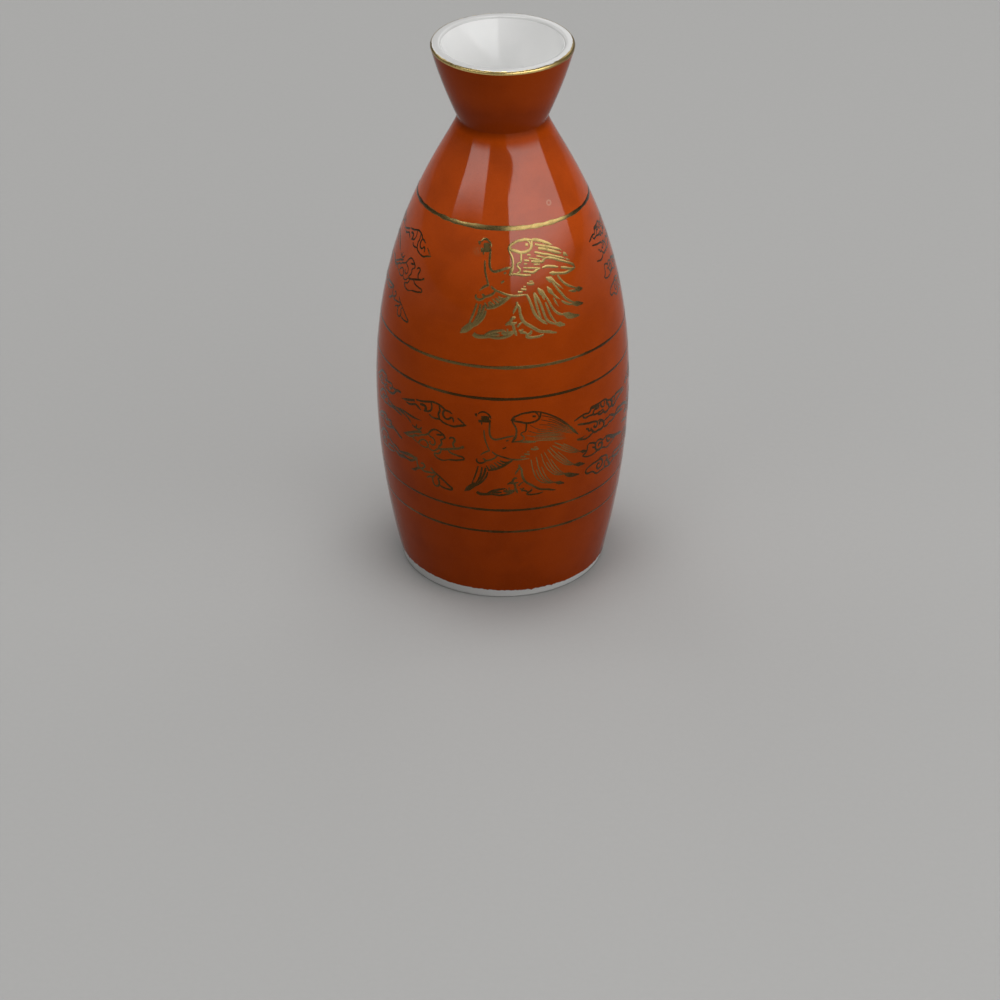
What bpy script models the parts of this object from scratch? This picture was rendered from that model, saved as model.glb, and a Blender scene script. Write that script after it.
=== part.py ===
"""Sake bottle: porcelain body and mouth, glaze lining, enamel coat, gold lines, gold cranes and clouds.

Metres, +Z up. The bottle stands on Z = 0, its axis is the Z axis and its front faces -Y.
"""

import math

import bmesh
import bpy
from mathutils import Matrix, Vector

# Outline of the bottle, on the outer face of the enamel
BOTTLE_HEIGHT = 0.1404
RIM_RADIUS = 0.01745
MOUTH_BOW = 0.00045
MOUTH_HEIGHT = 0.0189
NECK_HEIGHT = BOTTLE_HEIGHT - MOUTH_HEIGHT
NECK_RADIUS = 0.0109
NECK_SPREAD = 0.0019
NECK_RUN = 0.0070
SHOULDER_RISE = 0.0437
BELLY_RADIUS = 0.0316
BELLY_HEIGHT = 0.0486
BELLY_DROP = 0.0270
FOOT_RISE = 0.0012
FOOT_RADIUS = 0.0257

# Porcelain walls, measured in from that outline
BODY_WALL = 0.0032
LIP_WALL = 0.0022
LIP_OUTER_ROUND = 0.0004
LIP_INNER_ROUND = 0.0009
FLOOR_THICKNESS = 0.0045
FLOOR_ROUND = 0.0070

# Foot ring
FOOT_RING_WIDTH = 0.0038
FOOT_RECESS = 0.0022
FOOT_CHAMFER = 0.0005
BARE_FOOT_HEIGHT = 0.0022

# Fired layers and the clearance that touching layers keep
LAYER_GAP = 0.0003
ENAMEL_THICKNESS = 0.0003
GLAZE_THICKNESS = 0.0003
GOLD_THICKNESS = 0.0002

# Gold lines: the shoulder's lies a drop below the neck, and a pair is placed by its middle and its spacing
RIM_BAND_WIDTH = 0.0010
SHOULDER_LINE_DROP = 0.0201
SHOULDER_LINE_HEIGHT = NECK_HEIGHT - SHOULDER_LINE_DROP
SHOULDER_LINE_WIDTH = 0.0007
WAIST_LINES_HEIGHT = 0.0645
WAIST_LINES_SPACING = 0.0082
WAIST_LINE_WIDTH = 0.0006
BASE_LINES_HEIGHT = 0.02525
BASE_LINES_SPACING = 0.0067
BASE_LINE_WIDTH = 0.0006

# Cranes: spread in degrees round the bottle, and the breast's place and figure's rise in the band's height
CRANE_TURN = 12.0
UPPER_CRANE_SPREAD = 61.0
UPPER_CRANE_PLACE = 0.59
LOWER_CRANE_SPREAD = 56.0
LOWER_CRANE_PLACE = 0.53
CRANE_RISE = 0.89

# Cloud banks: turn from the front and spread in degrees, lowest and highest place in the band's height
UPPER_LEFT_BANK = (-60.0, 32.0, 0.19, 0.80)
UPPER_RIGHT_BANK = (77.0, 29.0, 0.26, 0.83)
LOWER_OUTER_BANK = (-98.0, 19.0, 0.22, 0.69)
LOWER_MIDDLE_BANK = (-71.0, 29.0, 0.28, 0.88)
LOWER_LEFT_BANK = (-36.5, 32.0, 0.24, 0.87)
LOWER_RIGHT_BANK = (57.5, 25.0, 0.17, 0.80)
BANK_TIERS = 3
BANK_WAIST = 0.55
BANK_SHORT_TIER = 0.75

# Share of a figure's height that its gold layer reaches past it before it is cut
STENCIL_MARGIN = 0.25

# Repeat of the ornament around the bottle
ORNAMENT_SIDES = {"front": 0.0, "back": 180.0}

# Fineness of the turned faces and curves
TURN_STEPS = 40
SIDE_STEPS = 5
SHOULDER_STEPS = 8
MOUTH_STEPS = 3
ROUND_STEPS = 3
OUTLINE_RESOLUTION = 2
MERGE_DISTANCE = 0.00001

# Linear colours
PORCELAIN_COLOUR = (0.80, 0.79, 0.76)
GLAZE_COLOUR = (0.84, 0.83, 0.80)
ENAMEL_COLOUR = (0.44, 0.056, 0.006)
GOLD_COLOUR = (0.83, 0.61, 0.22)

# Crane seen from its side, in hundredths of its spread and rise from the breast: (right, up, pointed)
CRANE_OUTLINE = (
    (-44, 34, True), (-34, 38, False), (-24, 33, False), (-28, 23, False), (-26, 14, False),
    (-20, 12, False), (-12, 16, False), (-9, 24, False), (-12, 31, True), (-4, 37, False),
    (3, 38, False), (14, 37, False), (26, 31, False), (37, 23, False), (46, 14, False),
    (50, 7, True), (36, 4, False), (33, 1, True), (42, -6, False), (52, -12, True),
    (40, -14, True), (51, -25, True), (36, -23, True), (47, -33, True), (31, -29, True),
    (34, -37, True), (19, -28, True), (17, -34, True), (9, -24, False), (2, -13, False),
    (-2, -7, False), (-15, -7, False), (-23, -14, False), (-33, -18, False), (-41, -28, False),
    (-53, -40, True), (-47, -24, False), (-43, -11, False), (-40, -6, False), (-40, -2, False),
    (-32, 3, False), (-34, 14, False), (-35, 22, False), (-38, 26, False),
)

# Peaked cloud under the crane, on the same grid
CRANE_CLOUD_OUTLINE = (
    (-46, -40, True), (-34, -36, False), (-20, -34, False), (-11, -29, False), (-8, -20, False),
    (-7, -12, True), (-5, -22, False), (2, -31, False), (12, -37, False), (24, -42, True),
    (8, -43, False), (-10, -40, False), (-30, -42, False),
)
CRANE_GRID = 100.0


def bezier(start, start_pull, end_pull, end, steps):
    """Returns points along a cubic curve, from start to end, without the start."""
    points = []
    for step in range(1, steps + 1):
        t = step / steps
        weights = ((1 - t) ** 3, 3 * (1 - t) ** 2 * t, 3 * (1 - t) * t ** 2, t ** 3)
        controls = (start, start_pull, end_pull, end)
        points.append(tuple(sum(w * c[axis] for w, c in zip(weights, controls)) for axis in (0, 1)))
    return points


def bottle_outline():
    """Returns the outer face as (radius, height) points, from the foot up to the rim."""
    foot = (FOOT_RADIUS, 0.0)
    belly = (BELLY_RADIUS, BELLY_HEIGHT)
    neck = (NECK_RADIUS, NECK_HEIGHT)
    above_foot = (FOOT_RADIUS, FOOT_RISE)
    below_belly = (BELLY_RADIUS, BELLY_HEIGHT - BELLY_DROP)
    above_belly = (BELLY_RADIUS, BELLY_HEIGHT + SHOULDER_RISE)
    below_neck = (NECK_RADIUS + NECK_SPREAD, NECK_HEIGHT - NECK_RUN)
    outline = [foot]
    outline += bezier(foot, above_foot, below_belly, belly, SIDE_STEPS)
    outline += bezier(belly, above_belly, below_neck, neck, SHOULDER_STEPS)
    for step in range(1, MOUTH_STEPS + 1):
        share = step / MOUTH_STEPS
        cone = NECK_RADIUS + (RIM_RADIUS - NECK_RADIUS) * share
        bow = 4 * MOUTH_BOW * share * (1 - share)
        outline.append((cone + bow, NECK_HEIGHT + MOUTH_HEIGHT * share))
    return outline


def wall_at(height):
    """Returns the wall's thickness: even up to the neck, then tapering to the lip."""
    share = max(0.0, (height - NECK_HEIGHT) / MOUTH_HEIGHT)
    return BODY_WALL + (LIP_WALL - BODY_WALL) * share


def offset(path, distance):
    """Returns the path moved outwards by distance(height), with mitred corners."""
    normals = []
    for (r0, z0), (r1, z1) in zip(path, path[1:]):
        normals.append(Vector((z1 - z0, r0 - r1)).normalized())
    moved = []
    for index, (radius, height) in enumerate(path):
        before = normals[max(index - 1, 0)]
        after = normals[min(index, len(normals) - 1)]
        mitre = (before + after) / (1 + before.dot(after))
        moved.append((radius + mitre.x * distance(height), height + mitre.y * distance(height)))
    return moved


def radius_on(path, height):
    """Returns the radius of a rising path at one height, running on straight past its ends."""
    for (r0, z0), (r1, z1) in zip(path, path[1:]):
        if height <= z1:
            break
    return r0 + (r1 - r0) * (height - z0) / (z1 - z0)


def stretch(path, low, high):
    """Returns the part of a rising path between two heights, with exact ends."""
    inner = [point for point in path if low < point[1] < high]
    return [(radius_on(path, low), low)] + inner + [(radius_on(path, high), high)]


def layer(outer_offset, inner_offset, low, high):
    """Returns a closed ring profile between two offsets of the outline."""
    outline = bottle_outline()
    outer = stretch(offset(outline, lambda height: outer_offset), low, high)
    inner = stretch(offset(outline, lambda height: inner_offset), low, high)
    return outer[::-1] + inner


def cavity(depth, top):
    """Returns the hollow's face, inset by depth, from the middle of the floor up to a height."""
    wall = offset(bottle_outline(), lambda height: -wall_at(height) - depth)
    floor = FOOT_RECESS + FLOOR_THICKNESS + depth
    side = stretch(wall, floor + FLOOR_ROUND, top)
    corner_radius = side[0][0] - FLOOR_ROUND
    path = [(0.0, floor)]
    for step in range(ROUND_STEPS):
        turn = math.radians(-90.0 + 90.0 * step / ROUND_STEPS)
        across = corner_radius + FLOOR_ROUND * math.cos(turn)
        path.append((across, floor + FLOOR_ROUND * (1 + math.sin(turn))))
    return path + side


def new_material(name, colour, roughness, metallic=0.0):
    """Returns a Principled material of one colour."""
    material = bpy.data.materials.new(name)
    material.use_nodes = True
    shader = material.node_tree.nodes["Principled BSDF"]
    shader.inputs["Base Color"].default_value = (*colour, 1.0)
    shader.inputs["Roughness"].default_value = roughness
    shader.inputs["Metallic"].default_value = metallic
    return material


def turned(name, profile, material, collection):
    """Adds a piece spun about Z from a profile that runs down its outer side."""
    closed = profile[0][0] > 0.0
    count = len(profile)
    edges = [(index, (index + 1) % count) for index in range(count if closed else count - 1)]
    mesh = bpy.data.meshes.new(name)
    mesh.from_pydata([(radius, 0.0, height) for radius, height in profile], edges, [])
    mesh.materials.append(material)
    piece = bpy.data.objects.new(name, mesh)
    collection.objects.link(piece)
    turn = piece.modifiers.new("Turn", "SCREW")
    turn.axis = "Z"
    turn.steps = TURN_STEPS
    turn.render_steps = TURN_STEPS
    turn.use_merge_vertices = True
    turn.merge_threshold = MERGE_DISTANCE
    turn.use_smooth_shade = True
    return piece


def stencil(name, outline, turn, collection):
    """Adds a cutter: an outline in degrees and heights, laid round the bottle and pushed out from the axis."""
    surface = bottle_outline()
    curve = bpy.data.curves.new(name, "CURVE")
    curve.dimensions = "2D"
    curve.fill_mode = "BOTH"
    curve.extrude = BELLY_RADIUS
    curve.resolution_u = OUTLINE_RESOLUTION
    spline = curve.splines.new("BEZIER")
    spline.bezier_points.add(len(outline) - 1)
    spline.use_cyclic_u = True
    for point, (right, height, pointed) in zip(spline.bezier_points, outline):
        point.co = (radius_on(surface, height) * math.sin(math.radians(right)), height, 0.0)
        kind = "VECTOR" if pointed else "AUTO"
        point.handle_left_type = kind
        point.handle_right_type = kind
    angle = math.radians(turn)
    across = Vector((math.cos(angle), math.sin(angle), 0.0))
    outward = Vector((math.sin(angle), -math.cos(angle), 0.0))
    place = Matrix.Translation(outward * BELLY_RADIUS)
    frame = Matrix((across, (0.0, 0.0, 1.0), outward)).transposed().to_4x4()
    return solid_from_curve(name, curve, place @ frame, collection)


def solid_from_curve(name, curve, matrix, collection):
    """Adds a welded mesh cutter made from a curve, and removes the curve."""
    drawn = bpy.data.objects.new(name + "_drawing", curve)
    collection.objects.link(drawn)
    graph = bpy.context.evaluated_depsgraph_get()
    mesh = bpy.data.meshes.new_from_object(drawn.evaluated_get(graph))
    bpy.data.objects.remove(drawn)
    shape = bmesh.new()
    shape.from_mesh(mesh)
    bmesh.ops.remove_doubles(shape, verts=shape.verts, dist=MERGE_DISTANCE)
    bmesh.ops.recalc_face_normals(shape, faces=shape.faces)
    shape.to_mesh(mesh)
    shape.free()
    cutter = bpy.data.objects.new(name, mesh)
    cutter.matrix_world = matrix
    cutter.hide_render = True
    cutter.display_type = "WIRE"
    collection.objects.link(cutter)
    return cutter


def crane_points(outline, band, spread, place):
    """Returns a crane drawing in degrees and heights, set in the band between two gold lines."""
    low, high = band
    points = []
    for right, up, pointed in outline:
        share = place + CRANE_RISE * up / CRANE_GRID
        points.append((spread * right / CRANE_GRID, low + (high - low) * share, pointed))
    return points


def bank_points(band, spread, bottom, top):
    """Returns a cloud bank: tiers with a tail at one end and a lobe at the other, in turn, under a crest."""
    low, high = band
    bank_low = low + (high - low) * bottom
    bank_high = low + (high - low) * top
    pitch = (bank_high - bank_low) / BANK_TIERS
    half = spread / 2
    right_side = []
    left_side = []
    tail = (half, True)
    lobe = (half * BANK_SHORT_TIER, False)
    for tier in range(BANK_TIERS):
        middle = bank_low + pitch * (tier + 0.5)
        (right, right_pointed), (left, left_pointed) = (tail, lobe) if tier % 2 == 0 else (lobe, tail)
        right_side.append((right, middle, right_pointed))
        left_side.append((-left, middle, left_pointed))
        if tier < BANK_TIERS - 1:
            right_side.append((half * BANK_WAIST, middle + pitch / 2, False))
            left_side.append((-half * BANK_WAIST, middle + pitch / 2, False))
    return [(0.0, bank_low, False)] + right_side + [(0.0, bank_high, False)] + left_side[::-1]


def ornament(name, outline, turn, material, parts, cutters):
    """Adds a gold figure: a thin layer over the enamel, kept only inside its stencil."""
    heights = [height for right, height, pointed in outline]
    margin = STENCIL_MARGIN * (max(heights) - min(heights))
    ring = layer(LAYER_GAP + GOLD_THICKNESS, LAYER_GAP, min(heights) - margin, max(heights) + margin)
    piece = turned(name, ring, material, parts)
    cut = piece.modifiers.new("Stencil", "BOOLEAN")
    cut.operation = "INTERSECT"
    cut.solver = "EXACT"
    cut.object = stencil(name + "_stencil", outline, turn, cutters)


def add_porcelain(material, parts):
    """Adds the body with its foot ring, and the flared mouth that is joined on at the neck."""
    inset = LAYER_GAP + ENAMEL_THICKNESS
    face = offset(bottle_outline(), lambda height: -inset)
    joint_low = NECK_HEIGHT - LAYER_GAP / 2
    joint_high = NECK_HEIGHT + LAYER_GAP / 2
    bare_top = BARE_FOOT_HEIGHT - LAYER_GAP
    bare_foot = stretch(bottle_outline(), FOOT_CHAMFER, bare_top)
    ring_radius = FOOT_RADIUS - FOOT_RING_WIDTH
    outside = stretch(face, bare_top, joint_low)[::-1] + bare_foot[::-1]
    underside = [
        (FOOT_RADIUS - FOOT_CHAMFER, 0.0), (ring_radius + FOOT_CHAMFER, 0.0),
        (ring_radius, FOOT_CHAMFER), (ring_radius - FOOT_CHAMFER, FOOT_RECESS), (0.0, FOOT_RECESS)]
    turned("porcelain_body", cavity(0.0, joint_low) + outside + underside, material, parts)

    inner = stretch(offset(bottle_outline(), lambda height: -wall_at(height)),
                    joint_high, BOTTLE_HEIGHT - LIP_INNER_ROUND)
    outer = stretch(face, joint_high, BOTTLE_HEIGHT - LIP_OUTER_ROUND)
    lip = [(inner[-1][0] + LIP_INNER_ROUND, BOTTLE_HEIGHT),
           (outer[-1][0] - LIP_OUTER_ROUND, BOTTLE_HEIGHT)]
    turned("porcelain_mouth", inner + lip + outer[::-1], material, parts)


def add_skins(glaze, enamel, parts):
    """Adds the glaze that lines the hollow and the enamel coat on the outside."""
    lining_top = BOTTLE_HEIGHT - LIP_INNER_ROUND
    lining_face = cavity(LAYER_GAP + GLAZE_THICKNESS, lining_top)
    lining_back = cavity(LAYER_GAP, lining_top)
    turned("glaze_lining", lining_face + lining_back[::-1], glaze, parts)
    coat_top = BOTTLE_HEIGHT - RIM_BAND_WIDTH - LAYER_GAP
    turned("enamel_coat", layer(0.0, -ENAMEL_THICKNESS, BARE_FOOT_HEIGHT, coat_top), enamel, parts)


def line_pair(middle, spacing):
    """Returns the heights of the lower and the upper line of a pair."""
    return middle - spacing / 2, middle + spacing / 2


def add_gold_lines(gold, parts):
    """Adds the rim band, which tops the enamel, and the five lines that lie on it."""
    band_low = BOTTLE_HEIGHT - RIM_BAND_WIDTH
    turned("gold_rim_band", layer(0.0, -ENAMEL_THICKNESS, band_low, BOTTLE_HEIGHT), gold, parts)
    waist_low, waist_high = line_pair(WAIST_LINES_HEIGHT, WAIST_LINES_SPACING)
    base_low, base_high = line_pair(BASE_LINES_HEIGHT, BASE_LINES_SPACING)
    lines = {
        "gold_shoulder_line": (SHOULDER_LINE_HEIGHT, SHOULDER_LINE_WIDTH),
        "gold_upper_waist_line": (waist_high, WAIST_LINE_WIDTH),
        "gold_lower_waist_line": (waist_low, WAIST_LINE_WIDTH),
        "gold_upper_base_line": (base_high, BASE_LINE_WIDTH),
        "gold_lower_base_line": (base_low, BASE_LINE_WIDTH),
    }
    for name, (height, width) in lines.items():
        ring = layer(LAYER_GAP + GOLD_THICKNESS, LAYER_GAP, height - width / 2, height + width / 2)
        turned(name, ring, gold, parts)


def add_ornament(gold, parts, cutters):
    """Adds the cranes, the cloud under each, and the cloud banks between them, on both sides."""
    waist_low, waist_high = line_pair(WAIST_LINES_HEIGHT, WAIST_LINES_SPACING)
    base_low, base_high = line_pair(BASE_LINES_HEIGHT, BASE_LINES_SPACING)
    bands = {"upper": (waist_high, SHOULDER_LINE_HEIGHT), "lower": (base_high, waist_low)}
    cranes = {
        "upper": (UPPER_CRANE_SPREAD, UPPER_CRANE_PLACE),
        "lower": (LOWER_CRANE_SPREAD, LOWER_CRANE_PLACE),
    }
    banks = {
        "upper": {"left": UPPER_LEFT_BANK, "right": UPPER_RIGHT_BANK},
        "lower": {"outer": LOWER_OUTER_BANK, "middle": LOWER_MIDDLE_BANK,
                  "left": LOWER_LEFT_BANK, "right": LOWER_RIGHT_BANK},
    }
    figures = {"crane": CRANE_OUTLINE, "crane_cloud": CRANE_CLOUD_OUTLINE}
    for side, side_turn in ORNAMENT_SIDES.items():
        for row, band in bands.items():
            for figure, outline in figures.items():
                points = crane_points(outline, band, *cranes[row])
                ornament(f"gold_{figure}_{row}_{side}", points, side_turn + CRANE_TURN, gold, parts, cutters)
            for place, (turn, spread, bottom, top) in banks[row].items():
                points = bank_points(band, spread, bottom, top)
                ornament(f"gold_clouds_{row}_{place}_{side}", points, side_turn + turn, gold, parts, cutters)


def main():
    """Clears the scene and models the bottle."""
    for obj in list(bpy.data.objects):
        bpy.data.objects.remove(obj)
    parts = bpy.data.collections.new("sake_bottle")
    cutters = bpy.data.collections.new("cutters")
    for collection in (parts, cutters):
        bpy.context.scene.collection.children.link(collection)
    porcelain = new_material("porcelain", PORCELAIN_COLOUR, roughness=0.25)
    glaze = new_material("clear_glaze", GLAZE_COLOUR, roughness=0.08)
    enamel = new_material("red_enamel", ENAMEL_COLOUR, roughness=0.18)
    gold = new_material("fired_gold", GOLD_COLOUR, roughness=0.25, metallic=1.0)
    add_porcelain(porcelain, parts)
    add_skins(glaze, enamel, parts)
    add_gold_lines(gold, parts)
    add_ornament(gold, parts, cutters)


main()
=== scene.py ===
"""Looks of the sake bottle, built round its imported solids: porcelain, glaze, red enamel and fired gold.

Metres, +Z up, in the frame of the solids. Angles go round the bottle in degrees, from its front at -Y
towards +X. A drawing in gold is written in its own units, which its placement turns into degrees and metres.
"""

import logging
import math
from dataclasses import dataclass, field
from enum import Enum
from functools import cached_property
from typing import Any, Callable, Sequence, Union

import bmesh
import bpy
import numpy as np
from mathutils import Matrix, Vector, noise
from mathutils.geometry import interpolate_bezier


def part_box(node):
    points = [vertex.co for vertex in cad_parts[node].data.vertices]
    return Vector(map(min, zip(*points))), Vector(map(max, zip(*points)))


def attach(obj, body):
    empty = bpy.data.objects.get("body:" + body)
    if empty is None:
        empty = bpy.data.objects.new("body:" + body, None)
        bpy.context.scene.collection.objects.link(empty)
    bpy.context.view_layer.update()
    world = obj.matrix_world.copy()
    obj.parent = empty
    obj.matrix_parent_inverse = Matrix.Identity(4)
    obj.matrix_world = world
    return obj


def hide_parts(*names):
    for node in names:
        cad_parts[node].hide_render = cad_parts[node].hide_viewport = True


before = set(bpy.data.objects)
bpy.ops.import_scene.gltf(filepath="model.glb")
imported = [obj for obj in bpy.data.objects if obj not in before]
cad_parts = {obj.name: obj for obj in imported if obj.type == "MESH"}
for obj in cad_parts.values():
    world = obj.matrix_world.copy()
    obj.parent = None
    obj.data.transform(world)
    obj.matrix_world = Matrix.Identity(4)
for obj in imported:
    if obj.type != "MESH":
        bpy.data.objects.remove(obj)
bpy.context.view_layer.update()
LOG = logging.getLogger("sake_bottle")

MM = 0.001
MERGE_DISTANCE = 0.002 * MM
SHARP_ANGLE = math.radians(42.0)
BODY = "root"

Point = tuple[float, float]
Colour = tuple[float, float, float]
Value = Union["Sock", float, Sequence[float]]


class Sock:
    """A node's output that joins in Python arithmetic: each operation adds a Math node."""

    def __init__(self, bench: "Bench", link: bpy.types.NodeSocket) -> None:
        """Keeps the output and the bench that it lies on."""
        self.bench = bench
        self.link = link

    def __add__(self, other: Value) -> "Sock":
        """Sum."""
        return self.bench.math("ADD", self, other)

    def __radd__(self, other: Value) -> "Sock":
        """Sum, from the right."""
        return self.bench.math("ADD", other, self)

    def __sub__(self, other: Value) -> "Sock":
        """Difference."""
        return self.bench.math("SUBTRACT", self, other)

    def __rsub__(self, other: Value) -> "Sock":
        """Difference, from the right."""
        return self.bench.math("SUBTRACT", other, self)

    def __mul__(self, other: Value) -> "Sock":
        """Product."""
        return self.bench.math("MULTIPLY", self, other)

    def __rmul__(self, other: Value) -> "Sock":
        """Product, from the right."""
        return self.bench.math("MULTIPLY", other, self)

    def smooth(self, low: float, high: float) -> "Sock":
        """Runs softly from 0 at low to 1 at high, or from 1 to 0 where low is the larger."""
        rising = low < high
        sockets = {
            "Value": self, "From Min": min(low, high), "From Max": max(low, high),
            "To Min": 0.0 if rising else 1.0, "To Max": 1.0 if rising else 0.0,
        }
        return self.bench.node("ShaderNodeMapRange", {"interpolation_type": "SMOOTHSTEP"}, sockets)


class Bench:
    """The node tree of one material and the few ways of adding to it."""

    def __init__(self, name: str) -> None:
        """Starts a material with one Principled shader."""
        self.material = bpy.data.materials.new(name)
        self.material.use_nodes = True
        self.tree = self.material.node_tree
        self.shader = self.tree.nodes["Principled BSDF"]

    def join(self, socket: bpy.types.NodeSocket, value: Value) -> None:
        """Links a Sock to a socket, or sets the socket to a plain value."""
        if isinstance(value, Sock):
            self.tree.links.new(value.link, socket)
        else:
            socket.default_value = value

    def node(self, kind: str, settings: dict[str, Any], sockets: dict[Any, Value], output: Any = 0) -> Sock:
        """Adds a node.

        Args:
            kind: The node's type.
            settings: Its properties, set before its sockets.
            sockets: Values or links of its inputs, by name or number.
            output: Name or number of the output that is wanted.

        Returns:
            That output.
        """
        made = self.tree.nodes.new(kind)
        for key, value in settings.items():
            setattr(made, key, value)
        for key, value in sockets.items():
            self.join(made.inputs[key], value)
        return Sock(self, made.outputs[output])

    def math(self, operation: str, *values: Value) -> Sock:
        """Adds one Math node."""
        return self.node("ShaderNodeMath", {"operation": operation}, dict(enumerate(values)))

    def mix(self, factor: Value, first: Value, second: Value) -> Sock:
        """Mixes two colours, each a Sock or a plain colour."""
        ends = [value if isinstance(value, Sock) else (*value, 1.0) for value in (first, second)]
        return self.node("ShaderNodeMix", {"data_type": "RGBA"}, {0: factor, 6: ends[0], 7: ends[1]}, 2)

    def place(self) -> Sock:
        """Returns the point on the piece, in millimetres."""
        point = self.node("ShaderNodeTexCoord", {}, {}, "Object")
        return self.node("ShaderNodeVectorMath", {"operation": "SCALE"}, {"Vector": point, "Scale": 1 / MM})

    def axis(self, place: Sock, name: str) -> Sock:
        """Returns one coordinate of a point: X, Y or Z."""
        return self.node("ShaderNodeSeparateXYZ", {}, {"Vector": place}, name)

    def stretched(self, place: Sock, scale: Sequence[float]) -> Sock:
        """Returns the point with each axis scaled by itself."""
        return self.node("ShaderNodeVectorMath", {"operation": "MULTIPLY"}, {0: place, 1: scale})

    def distance(self, place: Sock, centre: Sequence[float]) -> Sock:
        """Returns the distance from a fixed point."""
        return self.node("ShaderNodeVectorMath", {"operation": "DISTANCE"}, {0: place, 1: centre}, "Value")

    def noise(self, place: Sock, size: float, detail: float = 2.0, rough: float = 0.5) -> Sock:
        """Returns cloudy noise from 0 to 1 with features of one size, in the units of place."""
        sockets = {"Vector": place, "Scale": 1 / size, "Detail": detail, "Roughness": rough}
        return self.node("ShaderNodeTexNoise", {}, sockets)

    def spots(self, place: Sock, spacing: float, radius: float) -> Sock:
        """Returns 1 in round spots scattered at a spacing, and 0 between them."""
        cells = self.node("ShaderNodeTexVoronoi", {}, {"Vector": place, "Scale": 1 / spacing})
        return cells.smooth(radius / spacing, 0.4 * radius / spacing)

    def bump(self, height: Sock, depth: float, strength: float, over: Union["Sock", None] = None) -> Sock:
        """Returns a normal raised by a height of 0 to 1 that is depth metres deep."""
        sockets: dict[Any, Value] = {"Height": height, "Distance": depth, "Strength": strength}
        if over is not None:
            sockets["Normal"] = over
        return self.node("ShaderNodeBump", {}, sockets)

    def finish(self, **inputs: Value) -> bpy.types.Material:
        """Sets or links the shader's inputs, named with _ for a space, and returns the material."""
        for key, value in inputs.items():
            name = key.replace("_", " ")
            self.join(self.shader.inputs[name], value)
        return self.material


@dataclass(frozen=True)
class PorcelainFinish:
    """White porcelain: dry and gritty at the foot, where it is bare, and glazed at the lip."""

    body: Colour = (0.61, 0.606, 0.595)
    grit: Colour = (0.60, 0.575, 0.53)
    soil: Colour = (0.44, 0.41, 0.36)
    bare_roughness: float = 0.48
    glazed_roughness: float = 0.10

    def make(self) -> bpy.types.Material:
        """Returns the material."""
        bench = Bench("white_porcelain")
        place = bench.place()
        height = bench.axis(place, "Z")
        bare = height.smooth(60.0, 20.0)
        grain = bench.noise(place, 0.35, 3.0)
        cloudy = bench.noise(place, 4.0, 3.0)
        specks = bench.spots(place, 1.7, 0.10) * cloudy.smooth(0.5, 0.6) * bare
        worn = height.smooth(0.9, 0.0) * cloudy.smooth(0.35, 0.75)
        colour = bench.mix(bare * grain.smooth(0.45, 0.8) * 0.22, self.body, self.grit)
        colour = bench.mix(specks * 0.6, colour, self.soil)
        colour = bench.mix(worn * 0.5, colour, self.soil)
        rough = self.glazed_roughness + bare * (self.bare_roughness - self.glazed_roughness + 0.15 * grain)
        normal = bench.bump(grain * bare, 0.03 * MM, 0.6)
        return bench.finish(Base_Color=colour, Roughness=rough, Normal=normal, IOR=1.5)


@dataclass(frozen=True)
class GlazeFinish:
    """Clear glaze over white porcelain: smooth, faintly wavy, with a few pinholes."""

    body: Colour = (0.87, 0.868, 0.857)
    # Darker glaze: glaze that pools, and painted shade deeper in the hollow.
    pooled_and_painted_shade: Colour = (0.79, 0.80, 0.793)
    pinhole: Colour = (0.45, 0.42, 0.38)
    roughness: float = 0.07

    def make(self) -> bpy.types.Material:
        """Returns the material."""
        bench = Bench("clear_glaze")
        place = bench.place()
        cloudy = bench.noise(place, 7.0, 2.0)
        wave = bench.noise(place, 3.0, 1.0)
        pores = bench.spots(place, 2.6, 0.09) * cloudy.smooth(0.52, 0.6)
        # Painted shade and pooling glaze: darker deeper in the hollow, below the neck.
        deep = bench.axis(place, "Z").smooth(120.0, 60.0)
        colour = bench.mix(0.35 * cloudy.smooth(0.4, 0.8) + 0.5 * deep, self.body, self.pooled_and_painted_shade)
        colour = bench.mix(pores * 0.7, colour, self.pinhole)
        rough = self.roughness + 0.05 * cloudy
        normal = bench.bump(wave - pores * 0.2, 0.05 * MM, 0.25)
        return bench.finish(Base_Color=colour, Roughness=rough, Normal=normal, IOR=1.5)


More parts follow.
